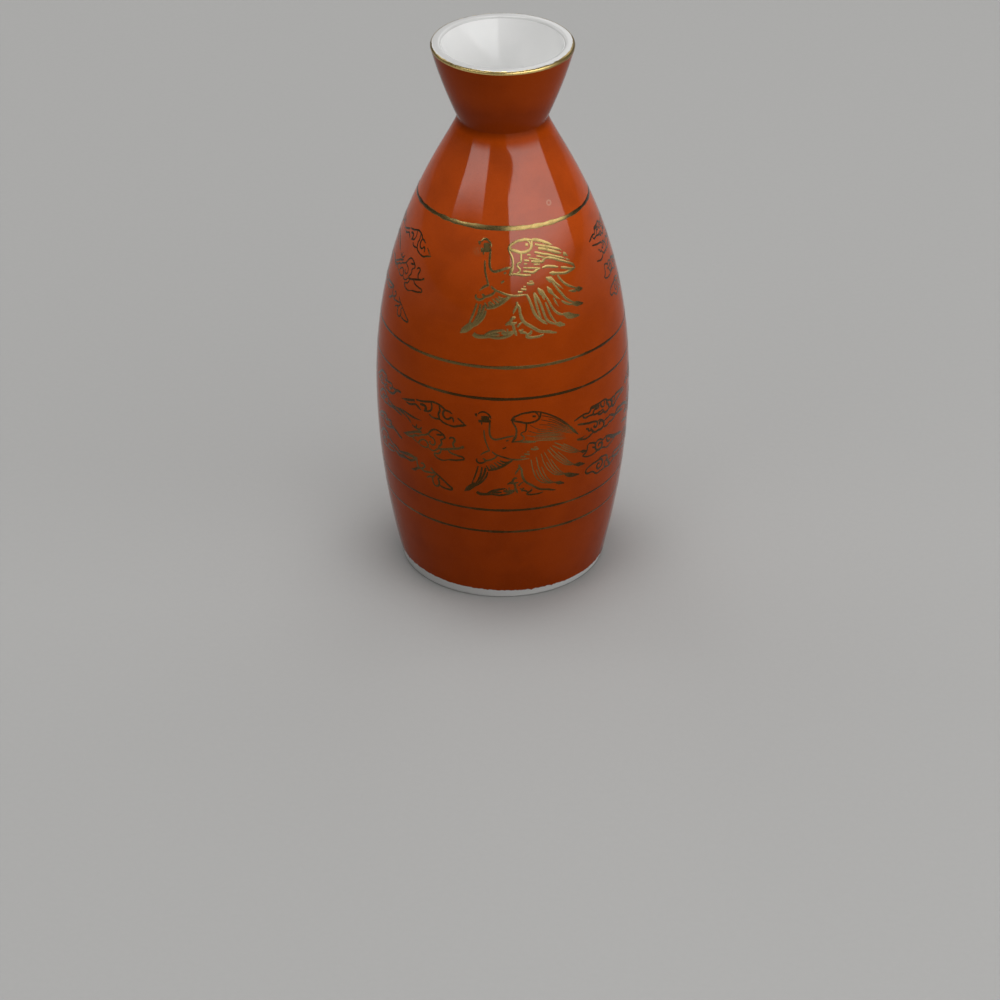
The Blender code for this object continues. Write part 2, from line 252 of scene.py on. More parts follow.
@dataclass(frozen=True)
class EnamelFinish:
    """Orange-red enamel: glassy on the shoulder, with pinholes and one burst bubble. Its colour holds painted
    light, lighter on the shoulder, and painted shade, darker towards the foot, over the mouth and in the crease,
    where the enamel also pools.
    """

    body: Colour = (0.38, 0.050, 0.0012)
    # Darker tone: thicker, cloudy enamel, and painted shade towards the foot, over the mouth and in the crease.
    thick_and_painted_lighting: Colour = (0.24, 0.0295, 0.0007)
    # Lighter tone: painted light on the shoulder, also used for the faint laps.
    painted_lighting: Colour = (0.57, 0.075, 0.003)
    speck: Colour = (0.13, 0.014, 0.003)
    pale: Colour = (0.56, 0.22, 0.12)
    smear: Colour = (0.36, 0.17, 0.06)
    roughness: float = 0.09
    index: float = 1.12
    coat_roughness: float = 0.06
    coat_index: float = 1.55
    # Reach of the crease darkening below and above the crease, in mm: enamel that pools there, and painted shade.
    pool_and_shade_below: float = 2.2
    pool_and_shade_above: float = 10.0
    crease: float = 121.5
    bubble_centre: tuple[float, float, float] = (10.96, -15.32, 105.46)
    bubble_radius: float = 0.56
    smear_centre: tuple[float, float, float] = (-5.98, -22.16, 96.1)
    smear_radius: float = 1.7

    def make(self) -> bpy.types.Material:
        """Returns the material."""
        bench = Bench("red_enamel")
        place = bench.place()
        height = bench.axis(place, "Z")
        cloudy = bench.noise(place, 9.0, 3.0)
        laps = bench.noise(bench.stretched(place, (0.10, 0.10, 1.0)), 1.6, 2.0)
        grain = bench.noise(place, 0.22, 2.0)
        peel = bench.noise(place, 0.8, 2.0)
        wave = bench.noise(place, 4.5, 1.0)
        pores = bench.spots(place, 3.1, 0.11) * cloudy.smooth(0.48, 0.56)
        dust = bench.spots(bench.stretched(place, (1.0, 1.0, 1.1)), 4.3, 0.10) * wave.smooth(0.5, 0.58)
        mouth = height.smooth(self.crease - 0.3, self.crease + 0.3)
        # Enamel that pools in the crease, and painted shade: darker there, reaching furthest up the mouth.
        pooled_and_painted_shade = height.smooth(self.crease - self.pool_and_shade_below, self.crease)
        pooled_and_painted_shade = pooled_and_painted_shade * height.smooth(self.crease + self.pool_and_shade_above, self.crease)
        # Painted light: the shoulder is lightened as if lit from above, but not the mouth.
        shoulder = height.smooth(80.0, 104.0) * (1.0 - mouth)
        ring = bench.distance(place, self.bubble_centre) - self.bubble_radius
        ring = bench.math("ABSOLUTE", ring).smooth(0.26, 0.10)
        smear = bench.distance(place, self.smear_centre).smooth(self.smear_radius, 0.0)
        smear = smear * grain.smooth(0.4, 0.6)
        # Painted shade: darker towards the foot and over the whole mouth; the cloudy share is uneven thickness.
        deep = 0.35 * cloudy.smooth(0.35, 0.75) + 0.65 * height.smooth(72.0, 12.0) + 0.48 * mouth
        # Mixes in painted light on the shoulder and the faint laps, then painted shade, cloudy enamel and the
        # crease's darkening.
        colour = bench.mix(0.85 * shoulder + 0.12 * laps.smooth(0.5, 0.8), self.body, self.painted_lighting)
        colour = bench.mix(deep + 0.8 * pooled_and_painted_shade, colour, self.thick_and_painted_lighting)
        colour = bench.mix(0.26 * grain.smooth(0.5, 0.8), colour, self.speck)
        colour = bench.mix(0.10 * grain.smooth(0.45, 0.2), colour, self.pale)
        colour = bench.mix(pores * 0.75, colour, self.speck)
        colour = bench.mix(dust * 0.5, colour, self.pale)
        colour = bench.mix(ring * 0.85, colour, self.pale)
        colour = bench.mix(smear * 0.5, colour, self.smear)
        rough = self.roughness + 0.05 * peel + 0.25 * ring
        normal = bench.bump(wave, 0.10 * MM, 0.2)
        normal = bench.bump(peel - pores * 0.6 + 0.5 * ring, 0.018 * MM, 0.5, normal)
        edgewise = bench.node("ShaderNodeLayerWeight", {}, {"Blend": 0.5}, "Facing")
        glass = height.smooth(74.0, 100.0) * height.smooth(self.crease - 2.0, self.crease - 4.5)
        glass = glass * (1.0 - edgewise)
        return bench.finish(Base_Color=colour, Roughness=rough, Normal=normal, IOR=self.index,
                            Coat_Weight=glass, Coat_Roughness=self.coat_roughness, Coat_IOR=self.coat_index)


@dataclass(frozen=True)
class GoldFinish:
    """Burnished gold: full on the lip, speckled, and rubbed in places. A painted highlight lies in the middle of
    the rim and on the lower crane's tail, and painted shade darkens it towards the foot and at the sides.
    """

    bright: Colour = (0.43, 0.31, 0.115)
    dull: Colour = (0.27, 0.185, 0.065)
    # Dark colour of the painted shade on the gold.
    painted_shade_brown: Colour = (0.062, 0.029, 0.008)
    # Full gold of the rim, also its painted highlight.
    thick_and_painted_lighting: Colour = (0.85, 0.64, 0.25)
    rubbed: Colour = (0.16, 0.07, 0.025)
    roughness: float = 0.22
    rim_height: float = 138.6
    # Painted highlight on the lower crane's tail: its centre and radius, in mm.
    painted_glint_centre: tuple[float, float, float] = (10.5, -28.5, 43.5)
    painted_glint_radius: float = 11.0

    def make(self) -> bpy.types.Material:
        """Returns the material."""
        bench = Bench("fired_gold")
        place = bench.place()
        cloudy = bench.noise(place, 1.6, 3.0)
        grain = bench.noise(place, 0.16, 2.0)
        across, height = bench.axis(place, "X"), bench.axis(place, "Z")
        # The rim's left and right ends, where its painted highlight gives way.
        ends = bench.math("ABSOLUTE", across + 1.0).smooth(9.0, 15.5)
        rim = height.smooth(self.rim_height, self.rim_height + 0.4)
        handled = 0.5 * across.smooth(7.0, 15.0) * rim * cloudy.smooth(0.3, 0.6)
        wear = 0.75 * cloudy.smooth(0.52, 0.78) + handled
        holes = grain.smooth(0.60, 0.78)
        # Painted highlight: the gold is kept light round one patch of the lower crane's tail.
        painted_glint = bench.distance(place, self.painted_glint_centre).smooth(self.painted_glint_radius, 0.3 * self.painted_glint_radius)
        patches = bench.noise(place, 12.0, 1.0).smooth(0.56, 0.68)
        # Painted shade: the gold darkens towards the foot and at the left and right sides, and shows less wear
        # there.
        side = bench.math("ABSOLUTE", across).smooth(13.0, 21.0)
        painted_lighting = bench.math("MAXIMUM", height.smooth(82.0, 60.0), side)
        painted_lighting = painted_lighting * (1.0 - 0.55 * painted_glint) * (1.0 - 0.15 * patches)
        colour = bench.mix(0.55 * cloudy.smooth(0.3, 0.65), self.bright, self.dull)
        colour = bench.mix(0.97 * painted_lighting, colour, self.painted_shade_brown)
        # Partly painted highlight: the rim's full, bright gold in its middle, front and back, falling off at its
        # ends.
        colour = bench.mix(rim * (1.0 - 0.85 * ends), colour, self.thick_and_painted_lighting)
        colour = bench.mix(wear * (0.6 - 0.5 * painted_lighting), colour, self.dull)
        colour = bench.mix(holes * (0.6 - 0.4 * painted_lighting), colour, self.rubbed)
        rough = self.roughness + 0.12 * wear + 0.10 * grain
        metal = 1.0 - 0.45 * holes - 0.2 * wear
        normal = bench.bump(grain, 0.006 * MM, 0.4)
        return bench.finish(Base_Color=colour, Roughness=rough, Metallic=metal, Normal=normal)


@dataclass(frozen=True)
class FloorFinish:
    """Plain pale card."""

    colour: Colour = (0.40, 0.397, 0.389)
    roughness: float = 0.75

    def make(self) -> bpy.types.Material:
        """Returns the material."""
        bench = Bench("pale_card")
        grain = bench.noise(bench.place(), 1.5, 3.0)
        darker = tuple(0.96 * channel for channel in self.colour)
        colour = bench.mix(grain, self.colour, darker)
        return bench.finish(Base_Color=colour, Roughness=self.roughness)


@dataclass(frozen=True)
class BottleForm:
    """The bottle's outer face: a curve from foot to belly, one over the shoulder, and a flared mouth.

    The overall sizes come from the solids. The pulls are the lengths of the two curves' handles.
    """

    height: float
    rim_radius: float
    neck_height: float
    belly_radius: float
    neck_radius: float = 10.9 * MM
    neck_spread: float = 1.9 * MM
    neck_run: float = 7.0 * MM
    shoulder_rise: float = 43.7 * MM
    belly_height: float = 48.6 * MM
    belly_drop: float = 27.0 * MM
    foot_rise: float = 1.2 * MM
    foot_radius: float = 25.7 * MM
    mouth_bow: float = 0.45 * MM
    crease_round: float = 0.12 * MM
    lip_round: float = 0.75 * MM
    lip_depth: float = 0.04 * MM
    body_wall: float = 3.2 * MM
    lip_wall: float = 2.2 * MM
    steps: int = 160

    @classmethod
    def from_frame(cls) -> "BottleForm":
        """Returns the form with its overall sizes read from the solids."""
        mouth_low, mouth_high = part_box("porcelain_mouth")
        body_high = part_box("porcelain_body")[1]
        rim_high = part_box("gold_rim_band")[1]
        coat_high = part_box("enamel_coat")[1]
        return cls(mouth_high.z, rim_high.x, (mouth_low.z + body_high.z) / 2, coat_high.x)

    @cached_property
    def outline(self) -> np.ndarray:
        """The outer face as rows of radius and height, close together, with the crease softened."""
        foot = Vector((self.foot_radius, 0.0))
        belly = Vector((self.belly_radius, self.belly_height))
        neck = Vector((self.neck_radius, self.neck_height))
        side = interpolate_bezier(
            foot, foot + Vector((0.0, self.foot_rise)), belly - Vector((0.0, self.belly_drop)), belly, self.steps)
        shoulder = interpolate_bezier(
            belly, belly + Vector((0.0, self.shoulder_rise)), neck + Vector((self.neck_spread, -self.neck_run)),
            neck, self.steps)
        mouth = []
        for step in range(self.steps + 1):
            share = step / self.steps
            flare = (self.rim_radius - self.neck_radius) * share + 4 * self.mouth_bow * share * (1 - share)
            mouth.append(neck + Vector((flare, (self.height - self.neck_height) * share)))
        rows = [tuple(point) for point in side[:-1] + shoulder[:-1] + mouth]
        below = [row for row in rows if row[1] < self.neck_height - self.crease_round]
        above = [row for row in rows if row[1] > self.neck_height + self.crease_round]
        start, end = Vector(below[-1]), Vector(above[0])
        fillet = interpolate_bezier(start, start.lerp(neck, 0.6), end.lerp(neck, 0.6), end, 10)
        return np.array(below + [tuple(point) for point in fillet[1:-1]] + above)

    @cached_property
    def normals(self) -> np.ndarray:
        """The outward normal of each row of the outline."""
        along = np.gradient(self.outline, axis=0)
        across = np.stack([along[:, 1], -along[:, 0]], axis=1)
        return across / np.linalg.norm(across, axis=1, keepdims=True)

    def radius(self, height: float) -> float:
        """Returns the outer radius at a height."""
        return float(np.interp(height, self.outline[:, 1], self.outline[:, 0]))

    def normal(self, height: float) -> Point:
        """Returns the outward normal at a height, as its radial and upward shares."""
        rows = self.outline[:, 1]
        return tuple(float(np.interp(height, rows, self.normals[:, axis])) for axis in (0, 1))

    def wall(self, height: float) -> float:
        """Returns the porcelain wall's thickness, which tapers from the neck to the lip."""
        share = max(0.0, (height - self.neck_height) / (self.height - self.neck_height))
        return self.body_wall + (self.lip_wall - self.body_wall) * share

    def skin(self, height: float, lift: float) -> Point:
        """Returns the radius and height of a point that stands lift proud of the outer face."""
        across, up = self.normal(height)
        return self.radius(height) + across * lift, height + up * lift

    @cached_property
    def lip_start(self) -> float:
        """The height on the outer face where the lip's outer round begins."""
        return self.height - self.lip_round * (1.0 - self.normal(self.height - self.lip_round)[1])

    def lip_arc(self, lift: float, end: float, steps: int) -> list[Point]:
        """Returns the lip's outer round, from the wall up.

        Args:
            lift: How far the points stand proud of the porcelain.
            end: Where it ends, in degrees above level.
            steps: Steps along it.

        Returns:
            Radius and height of each point.
        """
        centre = self.lip_centre
        across, up = self.normal(self.lip_start)
        turns = np.radians(np.linspace(math.degrees(math.atan2(up, across)), end, steps + 1))
        reach = self.lip_round + lift
        return [(centre[0] + reach * math.cos(turn), centre[1] + reach * math.sin(turn)) for turn in turns]

    @cached_property
    def lip_centre(self) -> Point:
        """The centre of the lip's outer round."""
        return self.skin(self.lip_start, -self.lip_depth - self.lip_round)

    def run(self, low: float, high: float, lift: Callable[[float], float], step: float) -> list[Point]:
        """Returns a rising run of skin points.

        Args:
            low: Height on the outer face where the run starts.
            high: Height where it ends.
            lift: How far each point stands proud of the outer face, by height.
            step: Longest step in height.

        Returns:
            Radius and height of each point.
        """
        count = max(2, math.ceil((high - low) / step) + 1)
        return [self.skin(height, lift(height)) for height in np.linspace(low, high, count)]

    def point(self, angle: float, height: float, lift: float) -> Vector:
        """Returns the point at an angle in degrees and a height that stands lift proud of the outer face."""
        radius, level = self.skin(height, lift)
        turn = math.radians(angle)
        return Vector((radius * math.sin(turn), -radius * math.cos(turn), level))


def turn_of(point: Vector) -> float:
    """Returns a point's angle round the bottle, in degrees from the front."""
    return math.degrees(math.atan2(point.x, -point.y))


def wander(angle: float, size: float, seed: float) -> float:
    """Returns smooth noise from about -1 to 1 round the bottle, with about 1 / size waves in each radian."""
    turn = math.radians(angle)
    return noise.noise(Vector((math.sin(turn) / size, math.cos(turn) / size, seed)))


def spin(profile: Sequence[Point], segments: int, closed: bool) -> bmesh.types.BMesh:
    """Turns a profile about the bottle's axis.

    Args:
        profile: Radius and height of each point, in order.
        segments: Steps in the full turn.
        closed: Whether the profile is a ring, or else starts and ends on the axis.

    Returns:
        A closed mesh whose faces point outwards.
    """
    bm = bmesh.new()
    verts = [bm.verts.new((radius, 0.0, height)) for radius, height in profile]
    edges = [bm.edges.new(pair) for pair in zip(verts, verts[1:])]
    if closed:
        edges.append(bm.edges.new((verts[-1], verts[0])))
    bmesh.ops.spin(bm, geom=verts + edges, cent=(0.0, 0.0, 0.0), axis=(0.0, 0.0, 1.0),
                   angle=2 * math.pi, steps=segments, use_merge=True)
    bmesh.ops.remove_doubles(bm, verts=bm.verts, dist=MERGE_DISTANCE)
    bmesh.ops.recalc_face_normals(bm, faces=bm.faces)
    return bm


def show(name: str, bm: bmesh.types.BMesh, material: bpy.types.Material, node: str) -> bpy.types.Object:
    """Makes a finished mesh a piece of the bottle.

    Args:
        name: The piece's name.
        bm: Its mesh, in place. It is freed.
        material: Its finish.
        node: The solid that it stands for.

    Returns:
        The piece.
    """
    mesh = bpy.data.meshes.new(name)
    bm.to_mesh(mesh)
    bm.free()
    mesh.materials.append(material)
    mesh.polygons.foreach_set("use_smooth", [True] * len(mesh.polygons))
    mesh.set_sharp_from_angle(angle=SHARP_ANGLE)
    piece = bpy.data.objects.new(name, mesh)
    bpy.context.scene.collection.objects.link(piece)
    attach(piece, BODY)
    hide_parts(node)
    triangles = sum(len(face.vertices) - 2 for face in mesh.polygons)
    LOG.info("%s stands for %s, %d triangles", name, node, triangles)
    return piece


@dataclass
class Porcelain:
    """The turned body with its foot ring, the flared mouth luted on at the neck, and the glaze inside."""

    form: BottleForm
    porcelain: bpy.types.Material
    glaze: bpy.types.Material
    coat_depth: float = 0.30 * MM
    bare_depth: float = 0.12 * MM
    bare_top: float = 1.2 * MM
    lip_band: float = 0.80 * MM
    joint_gap: float = 0.02 * MM
    glaze_depth: float = 0.30 * MM
    floor_thickness: float = 4.5 * MM
    floor_round: float = 7.0 * MM
    foot_ring_width: float = 3.8 * MM
    foot_recess: float = 2.2 * MM
    foot_round: float = 0.45 * MM
    lip_width: float = 1.85 * MM
    lip_inner_round: float = 1.2 * MM
    segments: int = 192
    wall_step: float = 1.5 * MM

    def outer_lift(self, height: float) -> float:
        """Returns how deep the porcelain's face lies: nearly flush where it is bare, else under enamel."""
        if height > self.form.height - self.lip_band:
            return -self.form.lip_depth
        share = min(1.0, max(0.0, (height - self.bare_top) / (0.4 * MM)))
        return -self.bare_depth - (self.coat_depth - self.bare_depth) * share

    def hollow(self, depth: float, top: float) -> list[Point]:
        """Returns the hollow's face from the middle of its floor up to a height on the outer face.

        Args:
            depth: How far the face stands in from the porcelain's.
            top: Where it ends, as a height on the outer face.

        Returns:
            Radius and height of each point.
        """
        floor = self.foot_recess + self.floor_thickness + depth
        side = self.form.run(
            floor + self.floor_round, top, lambda height: -self.form.wall(height) - depth, self.wall_step)
        corner = Vector((side[0][0], floor))
        start = corner - Vector((self.floor_round, 0.0))
        bend = interpolate_bezier(start, start.lerp(corner, 0.55), Vector(side[0]).lerp(corner, 0.45),
                                  Vector(side[0]), 10)
        flat = [(start.x * share, floor) for share in (0.0, 0.25, 0.5, 0.75)]
        return flat + [tuple(point) for point in bend[:-1]] + side

    def foot(self) -> list[Point]:
        """Returns the foot ring's underside, from its outer wall in to the middle of the recess."""
        outer = self.form.skin(self.foot_round, self.outer_lift(self.foot_round))
        inner = outer[0] - self.foot_ring_width
        edge = Vector((outer[0], 0.0))
        outside = interpolate_bezier(Vector(outer), edge.lerp(Vector(outer), 0.45),
                                     edge - Vector((0.55 * self.foot_round, 0.0)),
                                     edge - Vector((self.foot_round, 0.0)), 6)
        rise = Vector((inner, 0.0))
        inside = interpolate_bezier(rise + Vector((self.foot_round, 0.0)),
                                    rise + Vector((0.45 * self.foot_round, 0.0)),
                                    rise + Vector((0.0, 0.45 * self.foot_round)),
                                    rise + Vector((0.0, self.foot_round)), 6)
        hollow = [(inner - 0.3 * MM, self.foot_recess - 0.4 * MM), (inner - 0.9 * MM, self.foot_recess),
                  (0.5 * inner, self.foot_recess + 0.25 * MM), (0.0, self.foot_recess + 0.3 * MM)]
        return [tuple(point) for point in outside + inside] + hollow

    def lip(self) -> list[Point]:
        """Returns the lip's section, from its outer wall over the top and in to the face of the glaze."""
        top = self.form.height
        wall = self.form.run(top - self.lip_band + 0.02 * MM, self.form.lip_start, self.outer_lift, 0.2 * MM)
        round_over = self.form.lip_arc(0.0, 90.0, 8)
        inner = Vector(self.form.skin(top - self.lip_inner_round, -self.form.wall(top) - self.glaze_depth))
        crown = Vector((self.form.rim_radius - self.lip_width, top))
        dip = interpolate_bezier(crown, crown - Vector((0.4 * MM, 0.0)),
                                 inner + Vector((0.2, 0.55)) * MM, inner, 12)
        return wall[:-1] + round_over + [tuple(point) for point in dip]

    def build(self) -> None:
        """Makes the body, the mouth and the glaze."""
        joint = self.form.neck_height
        outside = self.form.run(self.foot_round, joint, self.outer_lift, self.wall_step)
        body = self.hollow(0.0, joint) + outside[:0:-1] + self.foot()
        show("turned_body", spin(body, self.segments, False), self.porcelain, "porcelain_body")

        top = self.form.height
        start = joint + self.joint_gap
        brim = top - self.lip_inner_round
        inner = self.form.run(start, brim, lambda height: -self.form.wall(height), self.wall_step)
        outer = self.form.run(start, top - self.lip_band - 0.02 * MM, self.outer_lift, self.wall_step)
        mouth = outer + self.lip() + inner[::-1]
        show("luted_mouth", spin(mouth, self.segments, True), self.porcelain, "porcelain_mouth")

        face = self.hollow(self.glaze_depth, brim + 2 * self.joint_gap)
        back = self.hollow(self.joint_gap, brim + 2 * self.joint_gap)
        lining = spin(face + back[::-1], self.segments, False)
        show("hollow_glaze", lining, self.glaze, "glaze_lining")


@dataclass
class EnamelCoat:
    """The red coat on the outside, with its ragged edge above the foot."""

    form: BottleForm
    enamel: bpy.types.Material
    depth: float = 0.28 * MM
    top_margin: float = 0.82 * MM
    tilt: float = 0.021
    segments: int = 600
    face_step: float = 1.5 * MM
    back_step: float = 6.0 * MM
    edge_sway: float = 0.12 * MM
    edge_teeth: float = 0.24 * MM
    edge_reach: float = 2.4 * MM
    ripple: float = 0.016 * MM
    ripple_length: float = 5.0 * MM

    def edge(self, angle: float) -> float:
        """Returns how far the ragged lower edge strays from its mean height. It falls to the right."""
        fall = self.tilt * self.form.foot_radius * math.sin(math.radians(angle))
        sway = wander(angle, 0.35, 3.0) * self.edge_sway - fall
        teeth = 0.7 * wander(angle, 0.05, 7.0) + wander(angle, 0.022, 11.0)
        return sway + teeth * self.edge_teeth

    def build(self) -> None:
        """Makes the coat."""
        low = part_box("enamel_coat")[0].z
        high = self.form.height - self.top_margin
        near = low + self.edge_reach
        bead = [self.form.skin(low, -self.depth), self.form.skin(low, -0.8 * self.depth),
                self.form.skin(low + 0.03 * MM, -0.4 * self.depth),
                self.form.skin(low + 0.12 * MM, -0.12 * self.depth)]
        face = self.form.run(low + 0.25 * MM, near, lambda height: 0.0, 0.2 * MM)
        back = []
        neck, turn = self.form.neck_height, 2 * self.form.crease_round
        for start, end, step in ((near, neck - turn, self.face_step), (neck - turn, neck + turn, 0.05 * MM),
                                 (neck + turn, high, self.face_step)):
            face += self.form.run(start, end, lambda height: 0.0, step)[1:]
        for start, end in ((low + 0.4 * MM, neck), (neck, high)):
            back += self.form.run(start, end, lambda height: -self.depth, self.back_step)
        bm = spin(bead + face + back[::-1], self.segments, True)
        for vert in bm.verts:
            stretch = self.ripple * noise.noise(vert.co / self.ripple_length) / vert.co.xy.length
            vert.co += Vector((vert.co.x, vert.co.y, 0.0)) * stretch
            share = (near - vert.co.z) / (near - low)
            if share > 0.0:
                vert.co.z += self.edge(turn_of(vert.co)) * min(share, 1.0) ** 2
        show("red_coat", bm, self.enamel, "enamel_coat")


@dataclass
class GoldBands:
    """The gilt rim and the five gold lines, drawn by hand on a wheel: a little off level and uneven."""

    form: BottleForm
    gold: bpy.types.Material
    tilt: float = 0.0127
    proud: float = 0.020 * MM
    sunk: float = 0.05 * MM
    sway: float = 0.05 * MM
    swell: float = 0.16
    side_thin: float = 0.36
    segments: int = 320
    rim_drop: float = 0.86 * MM
    rim_film: float = 0.055 * MM
    rim_end: float = 52.0
    rim_stray: float = 0.12 * MM
    rim_broad: float = 80.0

    FULLNESS = {"shoulder": 1.62, "upper_waist": 1.36, "lower_waist": 1.28,
                "upper_base": 1.12, "lower_base": 1.12}

    def line(self, name: str, fullness: float, seed: float) -> None:
        """Makes one line from the place and width of its solid, with the gold flowed out a little."""
        low, high = (corner.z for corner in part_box(f"gold_{name}_line"))
        middle, half = (low + high) / 2, (high - low) / 2 * fullness
        section = [(-1.0, -self.sunk), (-1.0, 0.0), (-0.8, self.proud), (0.0, self.proud), (0.8, self.proud),
                   (1.0, 0.0), (1.0, -self.sunk)]
        profile = [self.form.skin(middle + share * half, lift) for share, lift in section]
        bm = spin(profile, self.segments, True)
        for vert in bm.verts:
            angle = turn_of(vert.co)
            radius = math.hypot(vert.co.x, vert.co.y)
            place = radius - self.form.radius(vert.co.z)
            sideways = math.sin(math.radians(angle)) ** 2
            broad = 1 + self.swell * wander(angle, 0.12, seed) * 2 - self.side_thin * sideways
            level = middle + (vert.co.z - middle) * broad
            level += self.sway * wander(angle, 0.5, seed + 5.0) - self.tilt * vert.co.x
            vert.co = self.form.point(angle, level, place)
        show(f"{name}_gilding", bm, self.gold, f"gold_{name}_line")

    def rim(self) -> None:
        """Makes the gilt edge of the lip: a film from the wall onto the outer round, broad at the right."""
        form = self.form
        lift = self.rim_film - form.lip_depth
        low = form.height - self.rim_drop
        section = []
        for depth in (0.0, 0.09 * MM):
            wall = form.run(low, form.lip_start, lambda height: lift - depth, 0.15 * MM)
            section.append(wall[:-1] + form.lip_arc(self.rim_film - depth, self.rim_end, 8))
        bm = spin(section[0] + section[1][::-1], self.segments, True)
        centre = form.lip_centre
        for vert in bm.verts:
            angle = turn_of(vert.co)
            broad = max(0.0, math.cos(math.radians(angle - self.rim_broad))) ** 8
            across, up = math.hypot(vert.co.x, vert.co.y) - centre[0], vert.co.z - centre[1]
            if up > 0.0:
                stray = 0.25 * wander(angle, 0.07, 25.0) + 0.12 * wander(angle, 0.02, 27.0) + 0.5 * broad
                turn = math.atan2(up, across) * (1.0 + stray)
                reach = math.hypot(across, up)
                radius, height = centre[0] + reach * math.cos(turn), centre[1] + reach * math.sin(turn)
            else:
                share = min(1.0, (form.lip_start - vert.co.z) / (form.lip_start - low))
                stray = (wander(angle, 0.10, 21.0) - 4.0 * broad) * self.rim_stray * max(0.0, share)
                height = vert.co.z + stray
                radius = centre[0] + across + form.radius(height) - form.radius(vert.co.z)
            turn = math.radians(angle)
            vert.co = Vector((radius * math.sin(turn), -radius * math.cos(turn), height))
        show("rim_gilding", bm, self.gold, "gold_rim_band")

    def build(self) -> None:
        """Makes the rim and the lines."""
        self.rim()
        for number, (name, fullness) in enumerate(self.FULLNESS.items()):
            self.line(name, fullness, 31.0 + number)


class Tip(Enum):
    """How a stroke of the brush begins and ends, as shares of its width."""

    ROUND = (0.9, 0.9)
    BRUSHED = (0.75, 0.5)
    POINTED = (0.9, 0.15)
    SPINDLE = (0.3, 0.3)


@dataclass(frozen=True)
class Stroke:
    """One stroke of gold: its width and the points that it passes, in the drawing's units."""

    width: float
    points: tuple[Point, ...]
    tip: Tip = Tip.BRUSHED

    def half_width(self, number: int) -> float:
        """Returns the stroke's half width at one of its points, a little uneven as the brush leaves it."""
        share = 1.0
        if number == 0:
            share = self.tip.value[0]
        elif number == len(self.points) - 1:
            share = self.tip.value[1]
        across, up = self.points[number]
        return self.width / 2 * share * (1 + 0.22 * noise.noise(Vector((across * 0.37, up * 0.37, 5.0))))


def line(width: float, *points: Point) -> Stroke:
    """Returns a drawn line."""
    return Stroke(width, points)


def dab(width: float, *points: Point) -> Stroke:
    """Returns a full stroke with round ends."""
    return Stroke(width, points, Tip.ROUND)


def lick(width: float, *points: Point) -> Stroke:
    """Returns a stroke that runs out to a point."""
    return Stroke(width, points, Tip.POINTED)


def leaf(width: float, *points: Point) -> Stroke:
    """Returns a stroke with two narrow ends."""
    return Stroke(width, points, Tip.SPINDLE)


def fan(first: Stroke, last: Stroke, count: int) -> tuple[Stroke, ...]:
    """Returns strokes that lead from one stroke to another, a little unsteady, every second one cut short.

    Args:
        first: The stroke on one side, which gives the width and the tip.
        last: The stroke on the other side, with as many points.
        count: How many strokes to draw, with the two.

    Returns:
        The strokes.
    """
    strokes = []
    for number in range(count):
        share = number / (count - 1)
        pairs = zip(first.points, last.points)
        points = [(a + (c - a) * share, b + (d - b) * share) for (a, b), (c, d) in pairs]
        points = [(a, b + 0.7 * noise.noise(Vector((a * 0.21, b * 0.21, number * 1.7)))) for a, b in points]
        strokes.append(Stroke(first.width, tuple(points[1:] if number % 2 else points), first.tip))
    return tuple(strokes)


# Crane with raised wings, seen from its side: hundredths of its spread to the right of its breast and upwards
CRANE_HEAD = (
    lick(2.6, (-43.2, 35.4), (-42.9, 34.0), (-42.5, 32.4)),
    line(1.7, (-41.2, 35.2), (-39.0, 37.0), (-36.3, 37.3), (-33.6, 36.1), (-31.6, 34.0), (-30.6, 31.5)),
    dab(5.2, (-38.6, 31.5), (-35.0, 31.8), (-32.0, 31.5)),
    dab(3.0, (-41.0, 28.6), (-38.0, 29.0), (-33.0, 29.2), (-30.7, 29.8)),
    lick(1.7, (-38.6, 28.6), (-38.3, 26.8), (-38.2, 25.0)),
)
CRANE_NECK = (
    line(2.1, (-31.5, 29.6), (-31.8, 25.0), (-31.9, 20.0), (-31.3, 16.2), (-29.6, 13.7), (-27.0, 12.9),
         (-24.0, 13.4), (-20.0, 14.6), (-16.0, 15.6), (-12.0, 16.4)),
    line(1.7, (-36.4, 21.0), (-36.2, 17.0), (-35.4, 12.0), (-33.8, 7.0), (-32.5, 3.5), (-31.8, 2.0)),
    lick(2.0, (-31.5, 2.2), (-34.0, 1.3), (-37.0, -0.5), (-39.8, -3.2)),
    dab(1.5, (-18.6, 11.5), (-16.4, 12.5)),
    dab(1.8, (-21.2, 4.2), (-18.4, 5.8)),
)
CRANE_BELLY = (
    line(1.7, (-29.8, 1.3), (-28.0, -0.3), (-25.5, -1.8), (-20.0, -3.8), (-16.0, -5.2), (-12.0, -6.0),
         (-6.0, -6.2), (0.6, -5.7)),
    dab(1.3, (4.2, 4.4), (7.3, 4.2)),
    dab(2.1, (1.8, 3.0), (5.0, 2.2), (8.3, 2.5)),
    dab(1.3, (-1.4, 0.6), (0.6, 0.4)),
    dab(1.8, (-3.7, -1.2), (0.9, -2.0)),
    dab(1.9, (-6.6, -3.4), (-2.6, -3.7)),
)
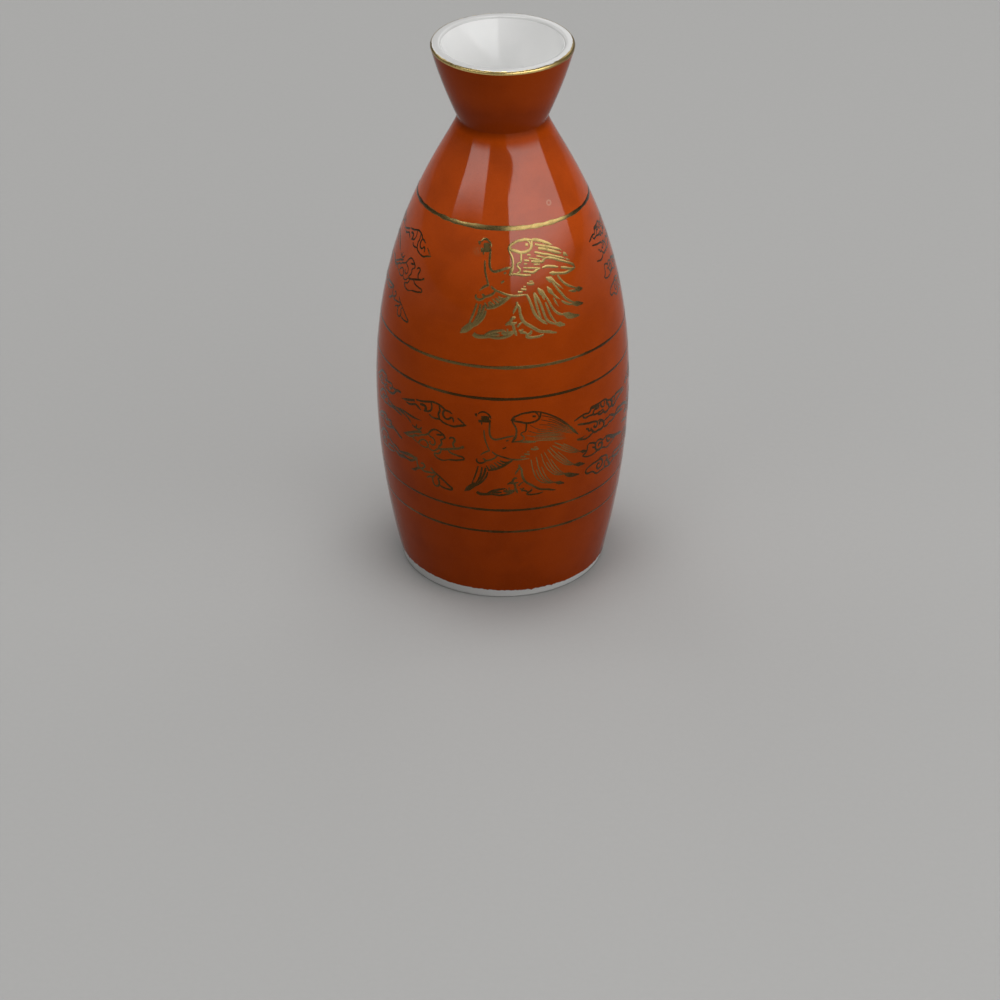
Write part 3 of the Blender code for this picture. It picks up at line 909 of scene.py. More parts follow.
FAR_WING = (
    line(2.0, (-25.6, -2.0), (-27.5, -4.3), (-30.0, -6.0), (-33.0, -7.0), (-35.6, -7.4), (-36.0, -6.2),
         (-37.6, -5.9)),
    line(1.9, (-35.0, -8.2), (-37.5, -9.8), (-40.0, -10.4), (-42.0, -9.5), (-42.6, -7.8), (-42.2, -6.2)),
    line(2.8, (-13.2, -6.6), (-16.2, -8.5), (-19.5, -11.0), (-23.0, -13.2), (-27.0, -15.0), (-30.0, -15.8),
         (-33.0, -17.0)),
    line(2.0, (-17.0, -8.2), (-19.5, -8.6), (-21.3, -8.0), (-23.6, -6.5)),
    line(1.9, (-20.8, -10.6), (-23.4, -9.6), (-26.0, -7.9)),
    line(1.9, (-23.2, -12.8), (-25.4, -11.6), (-28.4, -8.7)),
    line(1.9, (-26.4, -14.6), (-28.2, -13.0), (-30.6, -10.9)),
    line(1.9, (-29.4, -15.4), (-30.6, -13.6), (-31.6, -11.4)),
    line(1.9, (-32.6, -17.0), (-33.4, -14.6), (-34.8, -12.2)),
    line(1.9, (-41.3, -13.4), (-42.5, -18.0), (-44.5, -24.5), (-47.0, -31.0)),
    line(2.0, (-38.2, -13.8), (-38.8, -19.0), (-41.0, -26.0), (-44.5, -31.5)),
    line(2.4, (-35.2, -14.4), (-35.8, -18.0), (-37.4, -23.0), (-40.5, -28.5), (-44.0, -32.4)),
    line(2.2, (-33.4, -18.4), (-34.6, -22.5), (-37.0, -26.5), (-40.5, -30.5), (-44.5, -33.6)),
    leaf(3.0, (-38.4, -19.5), (-40.2, -24.5), (-42.6, -28.6)),
    lick(5.0, (-43.8, -30.6), (-47.0, -33.8), (-50.5, -36.9), (-53.6, -39.9)),
)
WING_SHOULDER = (
    line(2.1, (-14.2, 30.6), (-12.4, 33.0), (-9.0, 34.7), (-5.0, 36.2), (0.0, 36.7), (3.0, 37.0), (7.0, 36.5),
         (11.0, 36.0)),
    line(2.3, (10.2, 35.6), (9.8, 33.2), (8.9, 30.6), (7.2, 28.9), (4.5, 27.9), (0.0, 27.3), (-3.0, 27.5),
         (-7.0, 28.8), (-11.0, 29.5), (-14.2, 30.4)),
    line(1.4, (5.6, 36.0), (7.6, 34.4), (8.2, 32.0)),
    leaf(3.2, (-14.8, 30.2), (-13.0, 30.9), (-10.8, 31.6)),
    dab(2.4, (3.2, 33.0), (5.9, 32.7)),
    line(2.1, (-13.6, 29.6), (-12.2, 26.8), (-10.8, 24.2), (-10.0, 21.0), (-10.2, 18.0), (-10.9, 14.2),
         (-12.4, 11.4)),
    lick(2.6, (-11.2, 15.6), (-12.2, 12.6), (-14.2, 10.4)),
    line(1.8, (-13.8, 10.5), (-9.0, 10.9), (-4.5, 10.2), (0.0, 9.5), (5.8, 9.2)),
    line(2.0, (-1.8, 27.2), (-2.0, 24.0), (-2.3, 21.2), (-2.7, 19.6)),
    line(1.7, (-2.6, 19.7), (-5.4, 19.0), (-6.3, 17.4), (-5.0, 15.9), (-3.8, 14.4), (-4.0, 12.8),
         (-6.0, 11.6), (-8.4, 11.0)),
)
WING_COVERTS = (
    dab(1.6, (4.2, 25.0), (7.4, 24.7)),
    dab(1.6, (0.7, 21.1), (3.0, 20.9), (5.4, 20.4)),
    dab(1.6, (0.2, 18.4), (3.3, 18.1)),
    line(1.6, (-0.3, 15.4), (4.0, 14.9), (9.0, 14.4), (14.0, 14.0)),
    line(2.0, (-0.9, 12.6), (3.5, 12.0), (8.6, 11.1), (11.8, 12.5), (15.6, 13.7)),
    line(1.4, (5.2, 22.6), (9.0, 21.8), (13.0, 20.9), (16.0, 20.4)),
    line(2.4, (7.6, 19.7), (11.0, 19.3), (15.0, 18.6), (18.4, 18.4)),
    line(2.0, (11.0, 20.6), (14.0, 20.0), (16.2, 19.2)),
    line(1.4, (9.6, 17.1), (13.0, 16.8), (15.6, 16.6)),
    line(1.5, (13.2, 23.3), (16.0, 22.6), (19.0, 21.6), (22.0, 20.8)),
    line(2.2, (16.6, 17.9), (18.8, 18.6), (20.6, 20.0), (23.5, 20.6)),
)
WING_QUILLS = (
    lick(2.4, (10.6, 36.0), (14.0, 35.8), (18.0, 34.8), (23.0, 33.0), (28.0, 30.8), (31.4, 29.2)),
    lick(2.0, (13.0, 32.4), (18.0, 31.0), (23.0, 29.6), (27.0, 28.6), (32.0, 26.8), (36.0, 25.4),
         (40.8, 23.3)),
    lick(2.2, (15.8, 28.9), (20.0, 28.0), (24.0, 26.9), (28.0, 25.4), (33.0, 23.4), (37.0, 21.9),
         (39.8, 21.0)),
    line(1.5, (23.8, 28.7), (26.8, 27.2)),
    lick(1.8, (11.6, 26.5), (16.0, 25.3), (20.0, 24.0), (25.0, 22.7), (30.0, 21.0), (34.0, 19.4),
         (38.5, 17.8), (43.0, 16.2)),
    line(2.0, (22.0, 20.7), (26.0, 20.2), (30.0, 19.0), (35.0, 16.8), (40.0, 14.6), (44.0, 12.8),
         (48.0, 10.8), (50.2, 9.0), (50.9, 6.9)),
    lick(2.9, (41.2, 20.4), (43.2, 19.6), (46.4, 17.4)),
    lick(2.2, (43.4, 15.4), (47.4, 14.0)),
    line(2.1, (36.0, 10.5), (40.0, 9.4), (44.5, 7.6), (47.5, 6.8), (51.6, 6.4)),
    line(2.1, (28.0, 7.7), (32.0, 6.8), (36.0, 5.9), (40.0, 5.3), (44.0, 5.6), (48.0, 6.2), (51.6, 6.5)),
    leaf(3.3, (23.6, 8.4), (27.0, 7.7), (31.6, 6.6)),
    line(2.0, (17.4, 13.5), (21.0, 14.1), (25.0, 13.6), (29.0, 12.6), (33.4, 11.5)),
)
TAIL_PLUMES = (
    lick(2.2, (0.7, -5.7), (2.3, -8.6), (4.1, -13.5), (6.0, -20.0), (8.5, -24.7), (11.3, -27.6),
         (14.5, -30.2), (16.8, -32.2)),
    line(1.9, (7.4, -4.8), (8.0, -10.0), (9.0, -16.0), (10.4, -22.0), (12.3, -27.8)),
    line(1.9, (7.9, -5.2), (10.4, -10.0), (12.8, -16.0), (14.5, -22.0), (16.0, -27.0), (18.0, -30.0),
         (21.0, -32.0), (25.0, -33.8)),
    line(1.8, (16.7, -14.0), (18.3, -19.0), (19.8, -24.0), (22.0, -28.5), (25.3, -33.2)),
    leaf(4.8, (11.0, -1.8), (14.0, -5.4), (17.8, -9.8)),
    lick(2.1, (14.8, -7.6), (15.6, -10.0), (16.4, -12.2)),
    line(1.9, (17.4, -9.0), (19.8, -13.5), (22.3, -19.0), (25.5, -23.7), (29.0, -26.2), (33.0, -27.4)),
    leaf(4.2, (19.6, -1.8), (22.0, -5.4), (25.2, -9.4)),
    lick(1.8, (24.3, -8.4), (27.0, -11.5), (30.4, -14.2)),
    lick(1.5, (24.4, -11.6), (26.0, -15.5), (28.3, -19.8)),
    line(1.8, (31.5, -15.5), (34.5, -18.0), (39.0, -20.4), (43.0, -21.4)),
    leaf(4.8, (19.6, 5.4), (23.6, 3.2), (28.2, 0.2)),
    line(1.9, (25.3, 0.6), (29.0, -5.0), (33.0, -10.5), (36.3, -15.0), (40.0, -18.0), (44.0, -20.2)),
    lick(1.8, (27.3, 0.6), (31.0, -3.0), (35.0, -6.8)),
    line(1.8, (31.2, 5.4), (33.2, 2.0), (36.0, -1.5), (39.5, -4.5), (44.0, -7.3), (49.0, -9.6)),
    lick(2.2, (47.6, -11.6), (44.0, -10.7), (39.6, -9.4)),
)
TAIL_ENDS = (
    leaf(4.4, (23.0, -33.0), (27.5, -34.4), (32.2, -35.9)),
    leaf(4.8, (31.4, -26.4), (36.0, -28.9), (40.0, -30.5), (47.0, -32.0)),
    leaf(4.8, (40.8, -20.6), (46.0, -22.0), (52.6, -23.6)),
    leaf(4.8, (46.6, -10.0), (50.4, -11.0), (55.0, -11.9)),
)

# What the lower crane has instead of the coverts, quills and plumes: finer lines, gathered in the same ends
FINE_QUILLS = (
    line(1.7, (9.6, 35.8), (14.0, 34.2), (22.3, 29.4), (30.3, 23.2), (38.7, 14.0), (44.6, 7.2)),
    lick(3.0, (36.4, 16.6), (40.4, 11.6), (45.2, 6.6)),
    lick(2.0, (43.2, 2.5), (48.0, 2.4), (53.0, 3.6)),
) + fan(lick(1.0, (11.2, 32.6), (17.0, 30.6), (23.5, 27.0), (30.3, 21.6), (37.0, 14.6)),
        lick(1.0, (8.4, 22.4), (15.0, 20.8), (22.0, 18.4), (30.0, 14.2), (40.0, 9.4)), 6) + fan(
    lick(1.0, (1.2, 24.8), (8.0, 20.8), (15.0, 18.6), (22.0, 16.2), (30.0, 12.6)),
    lick(1.0, (-3.4, 11.4), (4.0, 10.2), (11.0, 9.6), (20.0, 8.4), (33.0, 6.8)), 7)
FINE_PLUMES = fan(
    lick(1.1, (2.0, -7.0), (4.4, -19.0), (9.0, -28.4), (16.9, -32.6), (25.0, -33.6)),
    lick(1.1, (8.6, -4.0), (11.0, -15.0), (15.0, -25.0), (19.5, -30.4), (25.0, -33.4)), 4) + fan(
    lick(1.1, (10.6, -3.0), (13.6, -13.0), (19.0, -22.0), (25.5, -26.4), (33.4, -27.6)),
    lick(1.1, (14.6, -0.6), (19.0, -9.0), (24.0, -17.5), (28.6, -23.5), (33.4, -27.2)), 4) + fan(
    lick(1.1, (16.2, 0.0), (21.6, -7.5), (28.0, -14.5), (34.5, -19.0), (42.6, -21.2)),
    lick(1.1, (19.0, 2.6), (25.4, -4.0), (31.4, -10.5), (36.8, -16.4), (42.6, -20.8)), 4) + fan(
    lick(1.1, (20.4, 3.4), (27.0, -1.4), (34.0, -5.8), (41.0, -9.0), (48.2, -10.6)),
    lick(1.1, (23.0, 6.2), (30.0, 2.5), (36.5, -2.0), (42.5, -6.5), (48.2, -10.2)), 4)
CRANE = CRANE_HEAD + CRANE_NECK + CRANE_BELLY + FAR_WING + WING_SHOULDER + TAIL_ENDS

# Peaked cloud under the crane, in the same units
PEAKED_CLOUD = (
    lick(2.0, (-7.8, -11.0), (-7.6, -13.5), (-9.0, -16.4), (-10.3, -18.6), (-11.1, -21.0)),
    line(2.4, (-7.4, -13.2), (-5.8, -16.0), (-5.4, -20.0), (-4.6, -23.5), (-3.3, -26.5), (-1.0, -29.3),
         (2.0, -31.3), (5.0, -33.5), (8.0, -35.7), (11.0, -37.3), (14.5, -38.0), (18.0, -38.7), (21.0, -39.8),
         (24.2, -40.6)),
    line(2.5, (-9.4, -24.4), (-11.0, -23.9), (-12.5, -25.2), (-13.2, -27.4), (-15.0, -28.5), (-17.4, -29.8)),
    line(2.4, (-14.6, -28.9), (-11.6, -28.9), (-8.2, -28.0)),
    line(2.4, (-11.6, -29.2), (-10.8, -31.6), (-10.6, -34.0), (-9.6, -36.5), (-8.8, -38.8)),
    line(1.8, (-8.0, -31.8), (-6.5, -29.8), (-3.8, -27.9)),
    line(1.9, (-6.9, -34.3), (-5.2, -36.0), (-5.3, -37.6)),
    line(1.9, (-3.4, -33.8), (-4.8, -35.8), (-2.0, -37.0), (0.0, -38.4)),
    line(2.1, (3.3, -35.4), (2.5, -37.5), (0.4, -38.7), (-0.8, -40.2), (1.0, -41.0), (5.0, -41.3),
         (9.0, -41.2), (13.2, -40.2)),
    dab(3.5, (-43.0, -38.8), (-40.5, -40.3), (-36.0, -40.4), (-31.0, -39.6)),
    line(2.8, (-33.4, -39.0), (-29.5, -36.6), (-25.0, -35.2), (-19.0, -34.0)),
    line(2.5, (-31.0, -39.8), (-25.0, -40.7), (-19.0, -40.0), (-14.4, -38.4), (-11.2, -36.6)),
    line(3.0, (-30.0, -38.3), (-26.0, -38.0), (-22.0, -37.8)),
    line(3.2, (-20.6, -36.2), (-17.6, -37.0), (-14.0, -36.6), (-11.4, -35.4)),
    line(2.0, (-15.8, -33.0), (-16.0, -36.0)),
    line(2.0, (-18.6, -34.2), (-17.2, -36.4)),
)

# Cloud bank with its tails to the left: degrees to the right of its middle and, in the same length, upwards
TAILED_LEFT_BANK = (
    lick(1.8, (-9.0, 18.6), (-12.0, 17.6), (-15.0, 16.6), (-18.2, 15.9)),
    line(1.3, (-8.2, 19.3), (-5.5, 19.6), (-3.0, 20.2), (-0.4, 21.0), (1.4, 21.4), (3.2, 21.3), (4.8, 20.9),
         (6.2, 20.2), (7.7, 19.2), (9.6, 18.9), (11.2, 18.0)),
    line(1.5, (-14.4, 15.6), (-12.0, 15.5), (-10.0, 16.3), (-8.5, 16.8), (-7.0, 16.2), (-5.2, 15.1)),
    line(1.9, (-5.8, 17.9), (-4.0, 18.2), (-2.7, 17.8), (-2.6, 16.2), (-3.5, 15.2)),
    line(1.3, (0.4, 20.9), (0.8, 18.6), (0.3, 17.0), (-0.7, 16.1), (-2.3, 15.7), (-3.5, 15.5)),
    line(1.3, (-0.6, 14.7), (1.0, 13.7), (3.0, 13.6), (5.0, 13.8), (6.2, 13.0), (8.0, 12.4), (10.0, 12.1)),
    line(1.7, (9.6, 12.1), (12.0, 12.0), (14.0, 12.7), (16.0, 13.3), (17.8, 13.7)),
    line(1.5, (4.6, 20.4), (5.0, 18.2), (4.3, 16.4), (4.6, 14.9), (5.0, 13.9)),
    line(1.4, (7.4, 19.0), (6.6, 17.5), (7.0, 15.8), (8.0, 15.0), (9.4, 15.1), (10.8, 16.2), (11.6, 15.5),
         (11.7, 14.0)),
    line(1.3, (13.7, 16.6), (15.0, 15.7), (16.0, 14.8), (17.2, 13.9)),
    line(1.5, (-10.5, 5.5), (-8.5, 5.0), (-7.7, 6.9)),
    line(1.5, (-8.8, 4.9), (-6.3, 4.8), (-4.7, 6.6)),
    lick(1.6, (-4.9, 4.0), (-8.5, 2.8), (-11.0, 1.5), (-13.5, 0.2), (-17.0, -1.3)),
    line(1.7, (-6.6, 1.4), (-9.0, 0.8), (-10.5, -0.3), (-13.0, -1.0), (-16.0, -1.0)),
    line(1.2, (-10.8, -0.8), (-9.0, -1.8), (-7.0, -2.4)),
    line(1.2, (-6.4, 1.4), (-5.4, 2.4), (-3.2, 3.2), (-1.3, 4.4), (0.2, 6.4), (1.8, 7.7), (3.6, 7.9),
         (5.4, 7.2), (6.9, 6.3), (7.5, 5.0), (6.6, 4.2)),
    line(1.6, (3.2, 5.6), (5.2, 5.9), (6.6, 6.4)),
    line(1.1, (-1.5, 4.3), (0.0, 3.5), (1.5, 3.0), (2.4, 1.8), (2.2, 0.2), (0.9, -0.5), (-0.4, 0.3),
         (0.2, 1.3)),
    line(1.2, (-7.0, -2.4), (-5.9, -0.8), (-4.6, 0.3), (-2.9, 0.5), (-1.7, -0.4), (-1.4, -2.0), (-2.4, -3.0),
         (-4.4, -3.2), (-7.0, -2.4)),
    line(1.1, (-1.5, -2.3), (0.4, -3.4), (2.2, -3.1), (3.3, -2.1), (4.2, -1.4)),
    line(1.6, (4.0, -1.5), (7.0, -1.0), (9.0, -0.3), (12.0, 0.6), (14.0, 1.2), (15.8, 2.0)),
    dab(2.0, (15.4, 1.9), (16.6, 2.6)),
    line(1.3, (6.6, 4.2), (5.6, 3.4), (5.9, 2.2), (5.4, 0.8), (4.4, -0.4), (4.1, -1.4)),
    line(1.4, (9.6, 5.0), (10.6, 6.0), (12.0, 5.8), (12.2, 4.6), (11.5, 3.2), (11.8, 1.8), (12.5, 0.8)),
    line(1.2, (8.8, -0.4), (9.8, -1.6), (11.5, -2.3), (14.0, -2.7), (16.2, -3.1), (16.5, -3.9), (15.0, -4.6),
         (13.0, -5.2), (10.0, -5.7), (8.8, -6.0)),
    line(1.2, (5.6, -1.4), (5.1, -3.0), (3.8, -4.2), (2.0, -4.7), (2.4, -5.9), (4.2, -6.8), (6.4, -6.9),
         (8.8, -6.0)),
    lick(1.9, (-8.0, -11.2), (-12.0, -11.4), (-16.0, -12.0), (-21.0, -13.4)),
    lick(1.6, (-8.4, -11.4), (-10.4, -12.8), (-12.4, -13.9), (-16.0, -14.2), (-20.6, -15.6)),
    line(1.3, (-8.3, -11.8), (-8.0, -14.6), (-6.4, -15.6), (-4.8, -14.8), (-3.8, -13.4), (-4.8, -12.4),
         (-6.2, -13.0)),
    line(1.9, (-6.4, -15.4), (-8.4, -16.4), (-10.2, -17.8), (-12.2, -18.4)),
    line(1.3, (-6.4, -15.5), (-4.4, -16.3), (-2.4, -16.0), (-0.4, -15.7), (2.0, -15.2)),
    line(1.4, (-0.4, -13.0), (1.0, -14.4), (3.4, -15.8), (6.3, -17.8), (8.8, -19.8), (10.4, -21.2),
         (8.4, -21.9), (5.2, -21.5), (3.6, -20.8)),
    line(1.3, (-2.8, -19.0), (-1.2, -18.0), (0.4, -17.6), (1.6, -16.6), (2.3, -15.4)),
    line(1.3, (0.4, -17.6), (0.5, -20.0), (1.2, -21.6), (2.4, -22.0), (3.6, -21.0), (3.9, -19.2),
         (3.4, -17.8), (4.6, -16.6)),
)

# Cloud bank with its tails to the right, in the same units
TAILED_RIGHT_BANK = (
    line(1.3, (-18.4, 12.3), (-16.6, 12.9), (-14.5, 13.6), (-12.0, 13.9), (-10.2, 13.6), (-9.0, 14.6),
         (-8.8, 15.6), (-6.0, 15.9), (-3.0, 15.9), (0.0, 16.2), (1.6, 15.7), (2.8, 14.7), (4.2, 14.2),
         (6.2, 14.1), (7.8, 14.3), (8.9, 13.6), (8.8, 12.2), (7.6, 11.6)),
    dab(1.5, (-8.6, 15.2), (-6.0, 15.1), (-4.2, 14.8)),
    line(1.4, (-4.2, 15.4), (-3.6, 14.4), (-4.4, 13.7), (-6.0, 14.0), (-7.1, 13.2), (-7.3, 12.1),
         (-6.2, 11.4)),
    line(1.3, (-2.2, 15.6), (-2.2, 14.3), (-1.2, 13.2), (-0.3, 13.0), (0.3, 14.0), (0.3, 15.8)),
    line(1.4, (-13.6, 13.4), (-13.0, 12.2), (-11.6, 11.8), (-10.2, 12.0), (-8.0, 11.9), (-6.0, 11.3),
         (-4.4, 11.2), (-3.6, 10.4), (-2.0, 10.0), (-0.4, 10.4), (0.9, 9.4), (2.4, 9.4), (4.0, 10.2),
         (5.4, 10.4), (6.6, 10.0)),
    dab(1.8, (-4.3, 11.6), (-3.6, 10.8), (-3.3, 10.2)),
    line(1.2, (-3.6, 11.8), (-2.6, 11.4), (-1.4, 11.6), (-0.4, 11.2), (-0.4, 10.5)),
    line(1.8, (2.0, 15.2), (2.4, 13.4), (3.4, 12.3), (3.9, 11.3), (4.0, 10.2)),
    dab(2.1, (5.4, 14.0), (6.4, 12.6), (6.3, 11.3), (6.8, 10.3)),
    lick(1.5, (6.6, 10.0), (8.0, 9.7), (9.4, 10.4), (11.0, 11.4), (13.0, 11.9), (17.0, 12.4), (22.0, 11.8)),
    lick(1.7, (8.6, 14.0), (10.9, 14.6), (13.2, 14.3), (16.6, 13.8), (20.0, 13.6)),
    line(1.4, (-16.6, 9.9), (-14.0, 9.3), (-11.0, 8.6), (-7.8, 8.1), (-6.1, 7.7), (-5.0, 7.2), (-4.5, 6.2),
         (-4.8, 5.1), (-5.8, 4.7), (-6.7, 5.4), (-6.2, 6.2)),
    line(1.4, (-11.8, 5.9), (-10.5, 5.6), (-10.0, 4.4), (-9.2, 4.2), (-8.6, 5.1)),
    line(1.6, (-8.8, 5.3), (-7.9, 3.7), (-6.9, 2.7), (-5.4, 2.1), (-3.8, 2.4), (-2.2, 2.1), (-0.6, 2.6),
         (0.2, 3.8), (-0.3, 5.2), (-1.2, 6.2), (-2.4, 6.4), (-3.1, 5.6), (-2.5, 4.8)),
    line(1.2, (-4.6, 6.6), (-3.6, 7.2), (-2.0, 7.0), (-0.8, 6.2)),
    line(1.2, (0.2, 5.0), (1.8, 5.7), (3.4, 5.8), (4.8, 6.3), (5.8, 6.0)),
    lick(1.7, (5.6, 6.1), (7.6, 5.0), (9.6, 4.1), (12.0, 3.9), (14.5, 3.7), (17.0, 3.1), (18.6, 2.7)),
    line(1.3, (-0.4, 2.6), (1.4, 2.0), (3.2, 2.2), (4.2, 2.9), (5.4, 2.7), (7.2, 2.8), (8.8, 3.3),
         (10.4, 3.9)),
    leaf(2.0, (9.4, 4.4), (11.8, 6.0), (15.0, 5.7), (18.2, 5.4), (20.8, 4.5), (23.8, 2.9), (27.0, 1.2)),
    line(1.3, (-16.4, 2.0), (-14.0, 1.4), (-12.0, 1.0), (-10.3, 1.2), (-8.6, 1.9), (-7.0, 2.6)),
    line(1.3, (-13.4, -7.5), (-11.6, -6.6), (-10.6, -4.8), (-10.4, -3.2), (-9.6, -2.4), (-8.2, -2.6),
         (-6.6, -3.2), (-5.4, -4.2), (-5.6, -5.4), (-6.8, -5.6), (-7.3, -4.8)),
    line(1.8, (-5.5, -5.2), (-5.0, -7.2), (-3.4, -8.3), (-1.7, -8.1), (-0.7, -7.0), (-0.8, -5.6),
         (-2.0, -5.0), (-3.1, -5.6), (-2.8, -6.5)),
    line(1.3, (-5.4, -4.2), (-4.2, -3.3), (-2.8, -3.1), (-1.4, -3.5), (-0.4, -4.4), (0.8, -4.0), (1.8, -3.5)),
    lick(2.0, (1.6, -3.5), (4.0, -4.3), (6.4, -5.3), (8.4, -6.2), (10.6, -7.0), (13.0, -7.7), (16.0, -8.7),
         (19.2, -9.7)),
    leaf(1.7, (5.0, -5.2), (8.0, -7.0), (12.0, -7.9)),
    line(1.4, (2.5, -3.9), (3.0, -5.9), (3.9, -7.0), (5.3, -7.3), (6.8, -6.4)),
    line(1.2, (-13.4, -7.5), (-11.4, -8.6), (-9.0, -9.1), (-6.4, -9.0), (-3.8, -8.5), (-1.6, -8.3),
         (0.4, -8.6), (2.2, -9.5), (4.2, -9.8), (6.2, -9.2), (8.4, -8.5), (10.4, -7.8)),
    leaf(1.9, (16.8, -4.0), (20.2, -4.2), (22.4, -4.9), (25.0, -5.9), (28.5, -7.2)),
    line(1.4, (-10.4, -15.6), (-8.6, -14.9), (-6.4, -14.3), (-4.4, -14.3), (-2.6, -14.1), (-0.9, -14.3),
         (0.4, -15.4), (0.5, -17.0), (-0.5, -18.4), (-2.2, -18.8), (-3.4, -17.8), (-3.2, -16.4),
         (-2.2, -15.9), (-1.4, -16.6)),
    line(1.3, (-10.4, -15.6), (-10.8, -17.2), (-9.4, -18.4), (-7.2, -18.4), (-5.4, -19.2), (-4.2, -20.4),
         (-2.6, -21.0), (-0.6, -20.7), (2.0, -20.6), (3.6, -20.6)),
    line(1.3, (-2.6, -14.0), (-1.0, -13.2), (1.0, -13.5), (3.0, -14.0), (4.2, -15.1), (4.2, -16.2)),
    line(2.0, (3.8, -16.0), (4.6, -17.2), (5.6, -18.6), (6.3, -19.7), (7.7, -20.4)),
    line(1.3, (5.6, -18.6), (6.4, -17.8), (7.8, -17.5), (9.4, -17.8)),
    line(1.4, (3.8, -16.6), (2.5, -17.6), (2.3, -18.8), (2.8, -20.0), (3.8, -20.6), (5.5, -21.0),
         (7.5, -21.0), (8.8, -20.5), (10.6, -19.9), (12.8, -19.2)),
    dab(2.1, (9.2, -17.8), (11.4, -18.4), (13.2, -19.0), (15.2, -19.2), (17.6, -18.9)),
    lick(1.5, (9.0, -17.4), (10.7, -15.8), (13.0, -16.0), (15.8, -16.4), (18.6, -16.2), (22.4, -16.3),
         (25.0, -17.0)),
    lick(1.3, (16.6, -18.9), (20.0, -18.6), (23.0, -19.5), (27.0, -21.2)),
)

